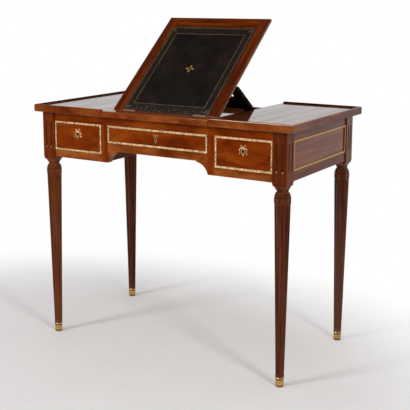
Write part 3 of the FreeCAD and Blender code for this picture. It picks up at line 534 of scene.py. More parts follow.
# %% [markdown]
# Each leg's post and neck were polished with the case, so they are redder and glossier than the shaft. At
# the foot of each flute in the post the rounded end would catch the light, and a pale spot is painted there
# as a highlight. Spots could be modelled, but they are only colour. The legs stand alike on both sides of
# the middle, so absolute values find all four at once.

# %% Polish and painted glints on the legs
POST_FROM, POST_BLEND = 0.565, 0.01
LEG_PLACE = sum(corner[0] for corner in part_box("leg_front_right")) / 2
FLUTE_APART, FLUTE_FOOT = 0.018, 0.6165
# Size and strength of the painted highlights at the flute feet.
GLINT_SPOT, GLINT_SHARE = (0.0012, 0.0030), 0.7


def above_shaft(tree):
    """The post of a leg and the turned neck under it."""
    return step(tree, object_axes(tree)["Z"], POST_FROM - POST_BLEND, POST_FROM)


def flat_length(tree, x, y):
    """The distance of a point in a plane from the origin."""
    return vector(tree, "LENGTH", add(tree, "CombineXYZ", {0: x, 1: y, 2: 0.0}).outputs[0])


def flute_glints(tree):
    """Painted highlights at the foot of both flutes in each post's front and back, found by folding the
    table twice.
    """
    place = object_axes(tree)
    from_leg = minus(tree, magnitude(tree, place["X"]), LEG_PLACE)
    from_flute = minus(tree, magnitude(tree, from_leg), FLUTE_APART / 2)
    away = flat_length(tree, from_flute, minus(tree, place["Z"], FLUTE_FOOT))
    return step(tree, away, *GLINT_SPOT, GLINT_SHARE, 0.0)


print("legs stand", round(LEG_PLACE, 4), "m from the middle")

# %% [markdown]
# Bright flamed veneer covers the drawers and rails, straighter wood the sides and the top, and the legs are
# browner solid wood. The rails under the drawers are paler and greyer: a painted sheen of the floor's
# reflection over the veneer. The prop is dark wood painted nearly black with the shade it stands in under
# the slope, and the hidden boards are plain oak. Each board's tones run from the dark of its grain to the
# light.

# %% Timbers
VENEER = ((98, 34, 3), (131, 51, 7), (158, 74, 17))
EDGING = ((98, 41, 13), (132, 60, 20), (158, 84, 35))
# Veneer tones made paler and greyer by a painted sheen, the floor's reflection in the rails under the
# drawers.
RAIL_WITH_PAINTED_SHEEN = ((102, 44, 12), (140, 68, 24), (168, 94, 44))
SIDE = ((104, 45, 14), (113, 51, 18), (121, 58, 23))
TOP = ((76, 37, 20), (91, 46, 26), (104, 56, 33))
SLOPE = ((68, 24, 4), (96, 38, 8), (120, 55, 16))
SOLID = ((76, 36, 20), (96, 49, 29), (110, 60, 38))
PALE_SOLID = ((90, 43, 20), (112, 56, 29), (128, 68, 38))
# Dark wood painted nearly black with the shade that the prop stands in under the slope.
SHADED_PROP = ((22, 11, 7), (36, 18, 11), (52, 28, 18))
INNER = ((80, 38, 19), (98, 49, 26), (114, 61, 35))
OAK = ((142, 104, 64), (160, 120, 78), (174, 136, 94))
FLAMED = (0.11, 0.045, 0.045)
STRAIGHT = (0.22, 0.012, 0.012)
LONG = (0.40, 0.030, 0.030)
LEGS = {
    "leg_front_left": (PALE_SOLID, 0.25, above_shaft),
    "leg_front_right": (SOLID, 0.25, above_shaft),
    "leg_back_left": (SOLID, 0.25, above_shaft),
    "leg_back_right": (SOLID, 0.85, None),
}

veneer = {turn: wood("veneer_" + turn, turn, VENEER, figure, 0.75, flecks=0.6, shade=round_mouldings)
          for turn, figure in (("x", FLAMED), ("z", STRAIGHT))}
rail = wood("veneer_rail", "x", RAIL_WITH_PAINTED_SHEEN, FLAMED, 0.75, flecks=0.3, shade=round_mouldings)
side_wood = wood("veneer_side", "y", SIDE, STRAIGHT, 1.0, 0.12, shade=round_panel)
lip = wood("veneer_lip", "mitred", EDGING, FLAMED, 0.95, 0.45, 0.3, shade=inside_lip)
strip = wood("veneer_strip", "x", EDGING, FLAMED, 0.75, 0.45, 0.3)
top = wood("veneer_top", "y", TOP, LONG, 0.95, 0.18)
slope_wood = {turn: wood("slope_" + turn, turn, SLOPE, STRAIGHT, polish, 0.18)
              for turn, polish in (("x", 0.15), ("slope", 1.0))}
leg_wood = {node: wood(node, "z", tones, STRAIGHT, polish, 0.15, rich=rich, painted_glint=flute_glints)
            for node, (tones, polish, rich) in LEGS.items()}
prop_wood = {turn: wood("prop_" + turn, turn, SHADED_PROP, STRAIGHT, 0.04) for turn in ("x", "prop")}
inner = {turn: wood("inner_" + turn, turn, INNER, STRAIGHT, 0.35, 0.18) for turn in ("x", "y")}
oak = {turn: wood("oak_" + turn, turn, OAK, STRAIGHT, 0.05, 0.18) for turn in ("x", "y")}
print("veneers", len(veneer) + 5, "legs", len(leg_wood), "slope", len(slope_wood), "oak", len(oak))

# %% [markdown]
# ## Brass
# The mouldings are gilt brass, pale where cloths have rubbed them and brown in the hollows. A metal has
# no colour of its own beyond its reflection, so the tones go to Base Color with Metallic near one; matt
# old gilding takes less of it. Tarnish is darker and rougher, in patches and in the corners that the wear
# group finds. Where a piece carries the point attribute soiled, old dirt covers the metal.

# %% Brass
SOIL = tone(52, 38, 18)
TARNISH_ROUGHER = 0.2
SCRATCHES = (900.0, 900.0, 300.0)
SCRATCH_RELIEF = {"Strength": 0.15, "Distance": 0.0001}
# Dark lines round each foot cap, at three heights.
CAP_LINES, CAP_LINE_WIDTH, CAP_LINE_DARKNESS = (0.0036, 0.0225, 0.0300), (0.0010, 0.0026), 0.85


def brass(name, bright, tarnish, roughness, metal=1.0, shade=None, clouds=(45.0, 0.52, 0.8, 0.4)):
    """Gilt brass between a bright tone and a tarnished one; shade adds a mask that darkens it, as for wood.

    clouds are patches of tarnish: the scale of their noise, where they begin and are full, and how dark.
    """
    material, tree, shader = new_material(name)
    place = add(tree, "TexCoord").outputs["Object"]
    worn = use_group(tree, wear, {"Radius": 0.0004, "Reach": 0.0025, "Vector": place})
    cloud = noise(tree, place, clouds[0], 4.0, 0.6)
    hollow = times(tree, step(tree, worn["Corner"], 0.25, 0.85), 0.8)
    stain = plus(tree, hollow, step(tree, cloud, *clouds[1:3], 0.0, clouds[3]), clamp=True)
    stain = minus(tree, stain, times(tree, worn["Edge"], 0.6), clamp=True)
    soiled = shade(tree) if shade else add(tree, "Attribute", attribute_name="soiled").outputs["Fac"]
    colour = mixed(tree, soiled, mixed(tree, stain, bright, tarnish), SOIL)
    rough = plus(tree, roughness, times(tree, stain, TARNISH_ROUGHER))
    scratch = noise(tree, vector(tree, "MULTIPLY", place, SCRATCHES), 1.0, 2.0)
    relief = add(tree, "Bump", {"Height": scratch, "Normal": worn["Normal"], **SCRATCH_RELIEF}).outputs[0]
    fill(tree, shader, {"Base Color": colour, "Roughness": rough, "Metallic": metal, "Normal": relief})
    return material


def cap_lines(tree):
    """Dark lines round a foot cap: above its toe, under its bead and along its upper rim."""
    height = object_axes(tree)["Z"]
    lines = [magnitude(tree, minus(tree, height, place)) for place in CAP_LINES]
    return step(tree, least(tree, *lines), *CAP_LINE_WIDTH, CAP_LINE_DARKNESS, 0.0)


GILT_CLOUDS = (130.0, 0.44, 0.62, 0.75)
gilt = brass("gilt_brass", tone(250, 210, 158), tone(156, 104, 54), 0.40, 0.65, clouds=GILT_CLOUDS)
cap_brass = brass("cap_brass", tone(202, 160, 98), tone(96, 64, 30), 0.20, shade=cap_lines)
aged = brass("aged_brass", tone(196, 152, 88), tone(92, 60, 30), 0.36)
dull = brass("dull_brass", tone(112, 98, 76), tone(46, 36, 28), 0.5)
print("brass:", ", ".join(finish.name for finish in (gilt, cap_brass, aged, dull)))

# %% [markdown]
# ## Which board has which finish
# Each solid takes the timber whose grain runs along its length. The raised lip is mitred: its front and
# back run along X and its end along Y. Its inner face is nearly black with painted shade and old dirt.
# Each leg was cut from its own board and polished by hand, so no two are quite alike.

# %% Dress the solids
FINISHES = {
    "top_rail": veneer["x"], "bottom_rails": rail, "arch_rail": rail, "front_strip": strip,
    "back_panel": inner["x"], "well_floor": top, "dust_boards": oak["x"], "drawer_guides": oak["y"],
    "slope_rail_top": slope_wood["x"], "slope_rail_front": oak["x"], "slope_ground": oak["x"],
    "prop_rail_foot": prop_wood["x"], "prop_rail_head": prop_wood["x"],
    "foot_caps": cap_brass, "side_fillets": aged, "prop_racks": dull, "prop_lugs": dull,
    "hinge_fixed": dull, "hinge_moving": dull, "hinge_pins": dull, **leg_wood,
}
PAIRS = {
    "stile": veneer["z"], "leaf": top, "lip": lip, "side_panel": side_wood, "partition": inner["y"],
    "slope_rail": slope_wood["slope"], "prop_stile": prop_wood["prop"],
}
DRAWER = {"front": veneer["x"], "sides": oak["y"], "bottom": oak["y"], "back": oak["x"], "lock": aged}
for side in ("left", "right"):
    FINISHES.update({"%s_%s" % (board, side): finish for board, finish in PAIRS.items()})
for word in DRAWERS:
    FINISHES.update({"drawer_%s_%s" % (word, board): finish for board, finish in DRAWER.items()})
for name, finish in FINISHES.items():
    nodes[name].data.materials.clear()
    nodes[name].data.materials.append(finish)
print("still to remake:", sorted(set(nodes) - set(FINISHES)))

# %% [markdown]
# ## Surfaces from numbers
# The pieces that follow are surfaces: a row of points carried along a second direction, which makes a
# grid. The helpers number the faces of a grid that closes on itself like a ring, or like a tube with its
# two ends capped, and put the arrays into a mesh. Normals are recalculated at the end, so it doesn't
# matter which way round a grid was made.

# %% Mesh helpers
CREASE = math.radians(40)


def ring_faces(rows, columns):
    """Quads of a grid whose rows and columns both close on themselves, as on a picture frame."""
    row, column = np.meshgrid(np.arange(rows), np.arange(columns), indexing="ij")
    next_row, next_column = (row + 1) % rows, (column + 1) % columns
    corner = np.stack((row * columns + column, row * columns + next_column,
                       next_row * columns + next_column, next_row * columns + column), -1)
    return [corner.reshape(-1, 4)]


def tube_faces(rows, columns):
    """Quads of a grid whose columns close on themselves, with the first and last row filled as caps."""
    sides = ring_faces(rows, columns)[0][:(rows - 1) * columns]
    caps = np.array([[0], [rows - 1]]) * columns + np.arange(columns)
    return [sides, caps]


def new_piece(name, parts, material, body, stands_for):
    """One mesh from parts, each points, faces and how soiled each point is; it rides a body for a node."""
    points, faces, soil, start = [], [], [], 0
    for part_points, part_faces, part_soil in parts:
        points.append(part_points.reshape(-1, 3))
        soil.append(np.broadcast_to(part_soil, part_points.shape[:-1]).ravel())
        for alike in part_faces:
            faces += (alike + start).tolist()
        start += len(points[-1])
    mesh = bpy.data.meshes.new(name)
    mesh.from_pydata(np.concatenate(points).tolist(), [], faces)
    soiled = mesh.attributes.new("soiled", "FLOAT", "POINT")
    soiled.data.foreach_set("value", np.concatenate(soil).astype(np.float32))
    work = bmesh.new()
    work.from_mesh(mesh)
    bmesh.ops.recalc_face_normals(work, faces=work.faces)
    work.to_mesh(mesh)
    work.free()
    mesh.materials.append(material)
    piece = new_object(name, mesh)
    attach(piece, body)
    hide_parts(stands_for)
    return piece


def smooth(piece):
    """Shades a piece smoothly, with creases kept where faces meet at more than the crease angle."""
    piece.data.shade_smooth()
    piece.data.set_sharp_from_angle(angle=CREASE)


print("a tube of 3 rings of 8 points has", sum(len(alike) for alike in tube_faces(3, 8)), "faces")

# %% [markdown]
# ## Beaded mouldings
# Each drawer is framed by a stamped brass strip, mitred at the corners and pinned on: a row of beads
# between two flat fillets, where every so often a bead is the small dark head of a pin. A modelled bead
# could be copied along a path, but then it would stand on the strip. Here the strip is one surface: a
# section carried round the rectangle, raised by a dome wherever a bead lies.

# %% Mouldings
MM = 0.001
BEAD_PITCH = 3.6 * MM
BEAD_RADIUS = 1.4 * MM
PIN_RADIUS = 0.8 * MM
PIN_SOIL, PIN_DIRT = 1.1 * MM, 0.6
PIN_EVERY = 8
BEAD_SAMPLES = np.array((0.0, 0.08, 0.2, 0.35, 0.5, 0.65, 0.8, 0.92))
STRIP_ACROSS = np.array((0, 0, 0.3, 1.0, 1.2, 1.5, 1.8, 2.2, 2.65, 3.1, 3.55, 4.0, 4.4, 4.7,
                         5.0, 5.2, 5.9, 6.2, 6.2)) * STRIP_WIDTH / 6.2
STRIP_HEIGHT = np.array((0, 0.9, 1.3, 1.3, 1.0, 0.9, 0.9, 0.9, 0.9, 0.9, 0.9, 0.9, 0.9, 0.9,
                         1.0, 1.3, 1.3, 0.9, 0)) * MM
STRIP_SOIL = np.array((0.8, 0.6, 0, 0, 0.5, 0.3, 0.1, 0, 0, 0, 0, 0, 0.1, 0.3,
                       0.5, 0, 0, 0.6, 0.8))


def beaded_side(length):
    """Distance along one side of the frame, across it, height and dirt, on a grid of along by across.

    Across the strip the mitre shortens the side by the same distance at both ends. Height is the section's
    own, or half a sphere over the nearest bead's centre where that is higher.
    """
    middle = STRIP_ACROSS[-1] / 2
    run = length - 2 * middle
    beads = max(1, round(run / BEAD_PITCH))
    share = ((np.arange(beads)[:, None] + BEAD_SAMPLES) / beads).ravel()[:, None]
    along = STRIP_ACROSS + share * (length - 2 * STRIP_ACROSS)
    across = np.broadcast_to(STRIP_ACROSS, along.shape)
    bead = np.clip(np.floor((along - middle) / run * beads), 0, beads - 1)
    centre = middle + (bead + 0.5) * run / beads
    pin = bead % PIN_EVERY == PIN_EVERY // 2
    radius = np.where(pin, PIN_RADIUS, BEAD_RADIUS)
    apart = (along - centre) ** 2 + (across - middle) ** 2
    dome = STRIP_HEIGHT[len(STRIP_HEIGHT) // 2] + np.sqrt(np.maximum(radius ** 2 - apart, 0))
    height = np.where(apart < radius ** 2, dome, STRIP_HEIGHT)
    near_pin = pin & (np.abs(along - centre) < PIN_SOIL)
    return along, across, height, np.where(near_pin, PIN_DIRT, STRIP_SOIL)


def moulding(word):
    """The four beaded sides joined into one ring round the drawer front."""
    node = "drawer_%s_moulding" % word
    low, high = (np.array(corner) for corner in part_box(node))
    wide, tall = high[0] - low[0], high[2] - low[2]
    sides, soil = [], []
    turns = (((low[0], low[2]), (1, 0), (0, 1), wide), ((high[0], low[2]), (0, 1), (-1, 0), tall),
             ((high[0], high[2]), (-1, 0), (0, -1), wide), ((low[0], high[2]), (0, -1), (1, 0), tall))
    for start, forward, inward, length in turns:
        along, across, height, dirt = beaded_side(length)
        x = start[0] + along * forward[0] + across * inward[0]
        z = start[1] + along * forward[1] + across * inward[1]
        sides.append(np.stack((x, high[1] - height, z), -1))
        soil.append(dirt)
    grid = np.concatenate(sides)
    part = (grid, ring_faces(*grid.shape[:2]), np.concatenate(soil))
    piece = new_piece("beaded_moulding_" + word, [part], gilt, "drawer_" + word, node)
    smooth(piece)
    return len(piece.data.polygons)


print("moulding faces:", [moulding(word) for word in DRAWERS])

# %% [markdown]
# ## Keyhole plates
# The plates are small castings: a pointed oval rim round a dark sunk field with the keyhole. A flat plate
# could carry the drawing as colour, but the rim has to catch the light. The shield is a set of rings between
# three outlines that are worked out at the same angles: the keyhole, the field and the edge.

# %% Shield
ANGLES = np.linspace(0, 2 * np.pi, 72, endpoint=False)
KEY_RADIUS, KEY_HALF_SLOT, KEY_DROP = 2.4 * MM, 1.2 * MM, 6.0 * MM
FIELD = (3.8 * MM, 5.4 * MM, -9.4 * MM)
EDGE = (6.0 * MM, 7.6 * MM, -13.2 * MM)
FIELD_LEAST, RIM_LEAST, FIELD_STEP = 0.3 * MM, 1.0 * MM, 0.1 * MM
SHIELD_HEIGHT = np.array((0, 0.4, 0.4, 1.3, 1.9, 1.7, 1.0, 0)) * MM
SHIELD_SOIL = np.array((1, 1, 1, 0.5, 0, 0, 0.1, 0.5))


def keyhole_reach(angle):
    """Distance to the keyhole's edge: its circle, or the slot below it where that reaches further."""
    sideways, down = np.abs(np.cos(angle)), np.maximum(-np.sin(angle), 1e-6)
    slot = np.minimum(KEY_HALF_SLOT / np.maximum(sideways, 1e-6), KEY_DROP / down)
    return np.where(np.sin(angle) < 0, np.maximum(KEY_RADIUS, slot), KEY_RADIUS)


def oval_reach(angle, half, top_end, tip):
    """Distance to a pointed oval at an angle: down its height it is as wide as a sine that peaks early."""
    share = np.linspace(0, 1, 60)
    width = half * np.sin(np.pi * share ** 0.72)
    height = top_end + (tip - top_end) * share
    x = np.concatenate((width[::-1], -width[1:-1]))
    z = np.concatenate((height[::-1], height[1:-1]))
    turn = np.unwrap(np.arctan2(z, x))
    around = np.append(turn, turn[0] + 2 * np.pi)
    reach = np.append(np.hypot(x, z), np.hypot(x[0], z[0]))
    return np.interp((angle - turn[0]) % (2 * np.pi) + turn[0], around, reach)


def shield(size):
    """The sunk field and its raised rim: rings from the keyhole's outline out to the edge's."""
    key = keyhole_reach(ANGLES)
    field = np.maximum(oval_reach(ANGLES, *FIELD) * size, key + FIELD_LEAST)
    edge = np.maximum(oval_reach(ANGLES, *EDGE) * size, field + RIM_LEAST)
    crest, shoulder = (field + edge) / 2, 0.2 * field + 0.8 * edge
    reach = np.stack((key, key, field - FIELD_STEP, field, crest, shoulder, edge, edge))
    height = np.broadcast_to(SHIELD_HEIGHT[:, None], reach.shape)
    grid = np.stack((reach * np.cos(ANGLES), height, reach * np.sin(ANGLES)), -1)
    return grid, ring_faces(*grid.shape[:2]), SHIELD_SOIL[:, None]


print("shield grid:", shield(1.0)[0].shape)

# %% [markdown]
# The shield hangs from a ribbon bow of two open loops. On the side drawers two ribbon ends wave down beside
# it, each with a bud. Ribbons could be swept by a curve object, but a half-round band is a short formula:
# half an ellipse carried along a path. Knot, drop and buds are small domes.

# %% Ribbons and domes
LOOP_ROOT, LOOP_LEAN = (1.2 * MM, 7.4 * MM), math.radians(46)
LOOP_LENGTH, LOOP_WIDTH, LOOP_HALF = 9.2 * MM, 7.0 * MM, 0.7 * MM
TAIL_CURVE = np.array(((2.5, 7.0), (22.5, 5.5), (3.0, -4.0), (12.4, -9.5))) * MM
RIBBON_HALF, TAIL_END_HALF, RIBBON_HEIGHT = 1.0 * MM, 1.4 * MM, 1.4 * MM
DOME_CLIMB = 0.94


def band(path, half, height, closed):
    """A half-round band: half an ellipse carried along a flat path, as wide as half says at each point."""
    ahead = np.roll(path, -1, 0) - np.roll(path, 1, 0) if closed else np.gradient(path, axis=0)
    ahead /= np.linalg.norm(ahead, axis=1, keepdims=True)
    sideways = np.stack((-ahead[:, 1], ahead[:, 0]), -1)
    around = np.linspace(0, np.pi, 9)
    offset = np.cos(around) * np.asarray(half)[:, None]
    flat = path[:, None, :] + sideways[:, None, :] * offset[:, :, None]
    rise = np.broadcast_to(np.sin(around) * height, offset.shape)
    grid = np.stack((flat[..., 0], rise, flat[..., 1]), -1)
    return grid, (ring_faces if closed else tube_faces)(*grid.shape[:2]), 0.0


def loop(side, size):
    """One loop of the bow: a leaf outline that leans outwards, narrow at the knot and round at its end."""
    turn = ANGLES[::2]
    out = (1 - np.cos(turn)) / 2
    aside = LOOP_WIDTH / 2 * np.sin(turn) * (0.35 + 0.65 * out)
    x = LOOP_ROOT[0] + LOOP_LENGTH * out * math.cos(LOOP_LEAN) - aside * math.sin(LOOP_LEAN)
    z = LOOP_ROOT[1] + LOOP_LENGTH * out * math.sin(LOOP_LEAN) + aside * math.cos(LOOP_LEAN)
    half = np.full(turn.size, LOOP_HALF * size)
    return band(np.stack((side * x, z), -1) * size, half, RIBBON_HEIGHT, True)


def tail(side, size):
    """One ribbon end: a cubic curve by its four control points, widening to its end."""
    share = np.linspace(0, 1, 20)[:, None]
    weights = ((1 - share) ** 3, 3 * share * (1 - share) ** 2, 3 * share ** 2 * (1 - share), share ** 3)
    path = sum(weight * point for weight, point in zip(weights, TAIL_CURVE)) * (side, 1) * size
    half = (RIBBON_HALF + (TAIL_END_HALF - RIBBON_HALF) * share[:, 0] ** 2) * size
    return band(path, half, RIBBON_HEIGHT, False)


def boss(x, z, radius, height):
    """A round dome: rings that draw in as a cosine while they rise as a sine, with the last one filled."""
    climb = np.linspace(0, DOME_CLIMB, 6) * QUARTER
    around = ANGLES[::4]
    reach = radius * np.cos(climb)[:, None]
    rise = np.broadcast_to(height * np.sin(climb)[:, None], (climb.size, around.size))
    grid = np.stack((x + reach * np.cos(around), rise, z + reach * np.sin(around)), -1)
    return grid, tube_faces(*grid.shape[:2]), 0.0


print("loop grid:", loop(1, 1.0)[0].shape, "ribbon end grid:", tail(1, 1.0)[0].shape)

# %% [markdown]
# A plate is one casting, so its forms go into one mesh, set out from the keyhole's centre. The middle drawer
# is low and has a smaller plate, with the bow but no ribbon ends.

# %% Keyhole plates
KEY_HEIGHTS = {"left": 0.665, "centre": 0.67375, "right": 0.665}
CENTRE_SIZE = 0.8
KNOT_PLACE, KNOT_RADIUS, KNOT_HEIGHT = 7.9 * MM, 1.7 * MM, 1.5 * MM
DROP_RADIUS, DROP_HEIGHT = 1.8 * MM, 2.0 * MM
BUD_PLACE, BUD_RADIUS, BUD_HEIGHT = (11.6 * MM, 2.4 * MM), 1.7 * MM, 1.8 * MM


def keyhole_plate(word, key_z):
    """The whole plate, set out from the keyhole's centre on the face of its drawer."""
    node = "drawer_%s_escutcheon" % word
    low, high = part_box(node)
    size = CENTRE_SIZE if word == "centre" else 1.0
    parts = [shield(size), boss(0, KNOT_PLACE * size, KNOT_RADIUS * size, KNOT_HEIGHT),
             boss(0, EDGE[2] * size, DROP_RADIUS * size, DROP_HEIGHT)]
    for side in (-1, 1):
        parts.append(loop(side, size))
        if word != "centre":
            parts += [tail(side, size), boss(side * BUD_PLACE[0], BUD_PLACE[1], BUD_RADIUS, BUD_HEIGHT)]
    origin = np.array(((low[0] + high[0]) / 2, high[1], key_z))
    placed = [(origin + points * (1, -1, 1), faces, soil) for points, faces, soil in parts]
    piece = new_piece("keyhole_plate_" + word, placed, gilt, "drawer_" + word, node)
    smooth(piece)
    return len(piece.data.polygons)


print("plate faces:", [keyhole_plate(word, KEY_HEIGHTS[word]) for word in DRAWERS])

# %% [markdown]
# ## Tooled leather
# The slope is lined with one skin of thin leather, nearly black with age, glued down and tooled in gilt:
# a line at its edge, a second line well inside it, small flowers in the corners between them and a larger
# one in the middle. The hot tools press the leather in, and the gilding is colour on top. A grid with
# more points near the lines can show both.

# %% Leather sizes
HINGE = next(joint["pos_m"] for joint in frame["joints"] if joint["name"] == "slope_tilt")
LEATHER_HALF, LEATHER_LOW, LEATHER_HIGH, LEATHER_THICK = 0.150, 0.0003, 0.375, 0.0012
HINGE_ROOMS, ROOM_HALF, ROOM_DEPTH = (-0.125, 0.125), 0.0223, 0.0031
EDGE_LINE, SIDE_LINE, LOW_LINE, HIGH_LINE = 0.0040, 0.025, 0.033, 0.3435
LINE_HALF, LINE_DEPTH = 0.0006, 0.00018
GRID_STEP = 0.005


def stops(low, high, spacing, places, half):
    """An even row of places, with five more close together at each of the places that need them."""
    close = np.add.outer(places, half * np.array((-2, -1, 0, 1, 2))).ravel()
    even = np.linspace(low, high, round((high - low) / spacing) + 1)
    return np.unique(np.round(np.clip(np.concatenate((even, close)), low, high), 6))


room_sides = [place + side * ROOM_HALF for place in HINGE_ROOMS for side in (-1, 1)]
across_lines = [-LEATHER_HALF + EDGE_LINE, -LEATHER_HALF + SIDE_LINE, LEATHER_HALF - SIDE_LINE,
                LEATHER_HALF - EDGE_LINE, *room_sides]
up_lines = [LOW_LINE, HIGH_LINE, LEATHER_HIGH - EDGE_LINE]
across_stops = stops(-LEATHER_HALF, LEATHER_HALF, GRID_STEP, across_lines, LINE_HALF / 2)
up_stops = stops(0, LEATHER_HIGH, GRID_STEP, up_lines, LINE_HALF / 2)
print("leather grid:", across_stops.size, "by", up_stops.size)

# %% [markdown]
# Each point's place on the skin gives how deep the tools have pressed it. Glue draws the edge down, and
# the skin swells a little between. Round the two hinges the leather is cut back.

# %% Leather surface
EDGE_DROP, EDGE_ROUND = 0.0001, 0.0008
SWELL, SWELL_ACROSS, SWELL_BEND, SWELL_UP = 0.00006, 61, 23, 47


def on_slope(across, up, out):
    """A point of the raised slope: across it, up it from the hinge line, and out from its face."""
    y = HINGE[1] + up * math.cos(SLOPE_LEAN) - out * math.sin(SLOPE_LEAN)
    z = HINGE[2] + up * math.sin(SLOPE_LEAN) + out * math.cos(SLOPE_LEAN)
    return np.stack((across, y, z), -1)


def pressed(distance):
    """How far a tool has pressed the leather in: a bell curve of the distance from the line's middle."""
    return LINE_DEPTH * np.exp(-(distance / LINE_HALF) ** 2)


in_room = np.any(np.abs(np.subtract.outer(across_stops, HINGE_ROOMS)) <= ROOM_HALF, axis=1)
lowest = np.where(in_room, ROOM_DEPTH, LEATHER_LOW)[:, None]
across = np.broadcast_to(across_stops[:, None], (across_stops.size, up_stops.size))
up = np.maximum(up_stops, lowest + up_stops * 1e-3)
from_edge = np.minimum(LEATHER_HALF - np.abs(across), np.minimum(LEATHER_HIGH - up, up - lowest))
from_sides = np.abs(LEATHER_HALF - SIDE_LINE - np.abs(across))
beside_line = (up > LOW_LINE - LINE_HALF) & (up < HIGH_LINE + LINE_HALF)
under_line = np.abs(across) < LEATHER_HALF - SIDE_LINE + LINE_HALF
level_lines = np.maximum(pressed(up - LOW_LINE), pressed(up - HIGH_LINE))
sunk = pressed(from_sides) * beside_line + level_lines * under_line
sunk = sunk + EDGE_DROP * np.exp(-(from_edge / EDGE_ROUND) ** 2)
swell = SWELL * (1 + np.sin(across * SWELL_ACROSS + 2 * np.sin(up * SWELL_BEND)) * np.sin(up * SWELL_UP))
face = on_slope(across, up, -sunk - swell)
under = on_slope(across, up, np.full(across.shape, -LEATHER_THICK))
print("deepest tooling:", round(float(sunk.max()) / MM, 2), "mm")

# %% [markdown]
# The gilding could be a picture, but its forms are simple enough to paint by distance: a point belongs to a
# line where its distance to that line is under half the line's width. A flower is four petals, each the
# inside of an ellipse, folded into one by taking absolute values.

# %% Gilt tooling
FLOWER_UP, FLOWER_SIZE = (LOW_LINE + HIGH_LINE) / 2, 0.0150
CORNER_FLOWERS = ((LEATHER_HIGH + HIGH_LINE) / 2, LOW_LINE / 2)
CORNER_FLOWER_SIZE, CORNER_GILDING = 0.0065, 0.8
PETAL_MIDDLE, PETAL_LENGTH, PETAL_WIDTH = 0.60, 0.40, 0.23


def flower(tree, across, up, size):
    """Four petals along the two axes, each an ellipse, found by folding the plane."""
    petals = []
    for along, aside in ((across, up), (up, across)):
        reach = minus(tree, magnitude(tree, along), PETAL_MIDDLE * size)
        reach = number("DIVIDE", tree, reach, PETAL_LENGTH * size)
        petals.append(flat_length(tree, reach, number("DIVIDE", tree, aside, PETAL_WIDTH * size)))
    return step(tree, least(tree, *petals), 0.85, 1.1, 1.0, 0.0)


def gilt_line(tree, distance):
    """A thin line where a distance passes through zero."""
    return step(tree, magnitude(tree, distance), LINE_HALF * 0.7, LINE_HALF * 1.5, 1.0, 0.0)


def tooling(tree, across, up):
    """Both lines and the corner flowers as a mask, the way to the edge, and the way past the inner line."""
    aside = magnitude(tree, across)
    from_side = minus(tree, LEATHER_HALF, aside)
    to_edge = smaller(tree, from_side, minus(tree, LEATHER_HIGH, up))
    past_side = minus(tree, aside, LEATHER_HALF - SIDE_LINE)
    past_low, past_high = minus(tree, LOW_LINE, up), minus(tree, up, HIGH_LINE)
    past_line = larger(tree, past_side, larger(tree, past_low, past_high))
    edge_line = gilt_line(tree, minus(tree, to_edge, EDGE_LINE))
    mask = larger(tree, edge_line, gilt_line(tree, past_line))
    near = minus(tree, aside, LEATHER_HALF - SIDE_LINE / 2)
    for height in CORNER_FLOWERS:
        small = flower(tree, near, minus(tree, up, height), CORNER_FLOWER_SIZE)
        mask = larger(tree, mask, times(tree, small, CORNER_GILDING))
    return mask, to_edge, past_line


print("middle flower", FLOWER_UP, "m up, corner flowers", CORNER_FLOWERS, "m up")

# %% [markdown]
# The skin's own look is a fine pebble grain with slow clouds of wear. By the hinges it is scuffed pale, and
# low on the left the black has rubbed off and an older red shows. Noise has rubbed some of the gilding away.

# %% Leather finish
SKIN = [(0.34, tone(17, 9, 6)), (0.55, tone(25, 15, 11)), (0.72, tone(42, 29, 22))]
BORDER_SKIN, SCUFFED_SKIN, OLD_RED = tone(44, 30, 21), tone(126, 112, 100), tone(122, 48, 38)
OLD_GILDING, BRIGHT_GILDING = tone(136, 120, 92), tone(176, 130, 74)
RED_PATCH, RED_REACH = (-0.132, 0.020, 0.0), (0.001, 0.007)
SCUFFED_UP = (0.004, 0.036)
SCUFF_SQUEEZE = (1.0, 2.2, 1.0)
LEATHER_SHEEN = 0.07
PEBBLES = {"Scale": 850.0, "Randomness": 1.0}
PEBBLE_RELIEF = {"Strength": 0.35, "Distance": 0.0003}


def worn_skin(tree, cut_place, up, past_line, cloud, rubbed):
    """Clouded black, a paler border past the inner line, scuffs by the hinges, and the red patch."""
    skin = ramp(tree, cloud, SKIN)
    skin = mixed(tree, step(tree, past_line, 0.0, 0.004, 0.0, 0.45), skin, BORDER_SKIN)
    scuffs = noise(tree, vector(tree, "MULTIPLY", cut_place, SCUFF_SQUEEZE), 120.0, 6.0, 0.75)
    by_hinges = step(tree, up, *SCUFFED_UP, 0.8, 0.05)
    scuffs = times(tree, step(tree, scuffs, 0.52, 0.64), by_hinges)
    skin = mixed(tree, scuffs, skin, SCUFFED_SKIN)
    from_patch = vector(tree, "LENGTH", vector(tree, "SUBTRACT", cut_place, RED_PATCH))
    patch = times(tree, step(tree, from_patch, *RED_REACH, 0.8, 0.0), rubbed)
    return mixed(tree, patch, skin, OLD_RED)


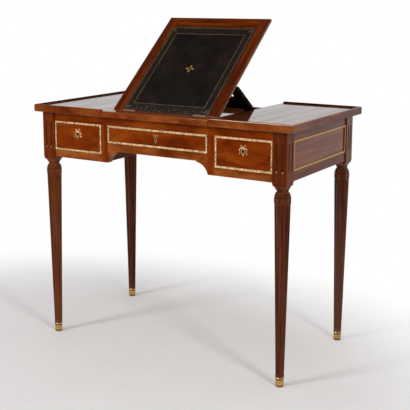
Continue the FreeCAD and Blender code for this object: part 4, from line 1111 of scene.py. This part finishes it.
def tooled_leather():
    """Near-black leather with rubbed gilt tooling, worn pale along the edge by the hinges."""
    material, tree, shader = new_material("tooled_leather")
    cut_place = add(tree, "UVMap", uv_map="cut").outputs["UV"]
    cut = add(tree, "SeparateXYZ", {"Vector": cut_place}).outputs
    across, up = cut["X"], cut["Y"]
    lines, to_edge, past_line = tooling(tree, across, up)
    middle = flower(tree, across, minus(tree, up, FLOWER_UP), FLOWER_SIZE)
    rubbed = step(tree, noise(tree, cut_place, 70.0, 4.0, 0.6), 0.30, 0.62, 0.25, 0.85)
    cloud = noise(tree, cut_place, 14.0, 5.0, 0.6)
    skin = worn_skin(tree, cut_place, up, past_line, cloud, rubbed)
    colour = mixed(tree, times(tree, lines, rubbed), skin, OLD_GILDING)
    colour = mixed(tree, times(tree, middle, rubbed), colour, BRIGHT_GILDING)
    matt_edge = step(tree, to_edge, 0.001, 0.003, 0.3, 0.0)
    rough = plus(tree, step(tree, cloud, 0.3, 0.7, 0.42, 0.58), matt_edge)
    pebble = add(tree, "TexVoronoi", {"Vector": cut_place, **PEBBLES}).outputs["Distance"]
    relief = add(tree, "Bump", {"Height": pebble, **PEBBLE_RELIEF}).outputs[0]
    sockets = {"Base Color": colour, "Roughness": rough, "Normal": relief}
    fill(tree, shader, {**sockets, "Specular IOR Level": LEATHER_SHEEN})
    return material


leather_finish = tooled_leather()
print("leather finish:", len(leather_finish.node_tree.nodes), "nodes")

# %% [markdown]
# The skin's face and its underside make one closed tube. Its UV map holds real metres across and up the
# slope, so the tooling stays on the leather when the slope is lowered.

# %% Lay the leather
rows = np.concatenate((face, under[:, ::-1]), 1)
on_skin = np.stack((across, up), -1)
cut_places = np.concatenate((on_skin, on_skin[:, ::-1]), 1).reshape(-1, 2)
skin_part = (rows, tube_faces(*rows.shape[:2]), 0.0)
leather = new_piece("leather_lining", [skin_part], leather_finish, "slope", "slope_leather")
corner_of = np.empty(len(leather.data.loops), dtype=np.int32)
leather.data.loops.foreach_get("vertex_index", corner_of)
cut_map = leather.data.uv_layers.new(name="cut")
cut_map.data.foreach_set("uv", cut_places[corner_of].astype(np.float32).ravel())
smooth(leather)
print("leather:", len(leather.data.polygons), "faces")
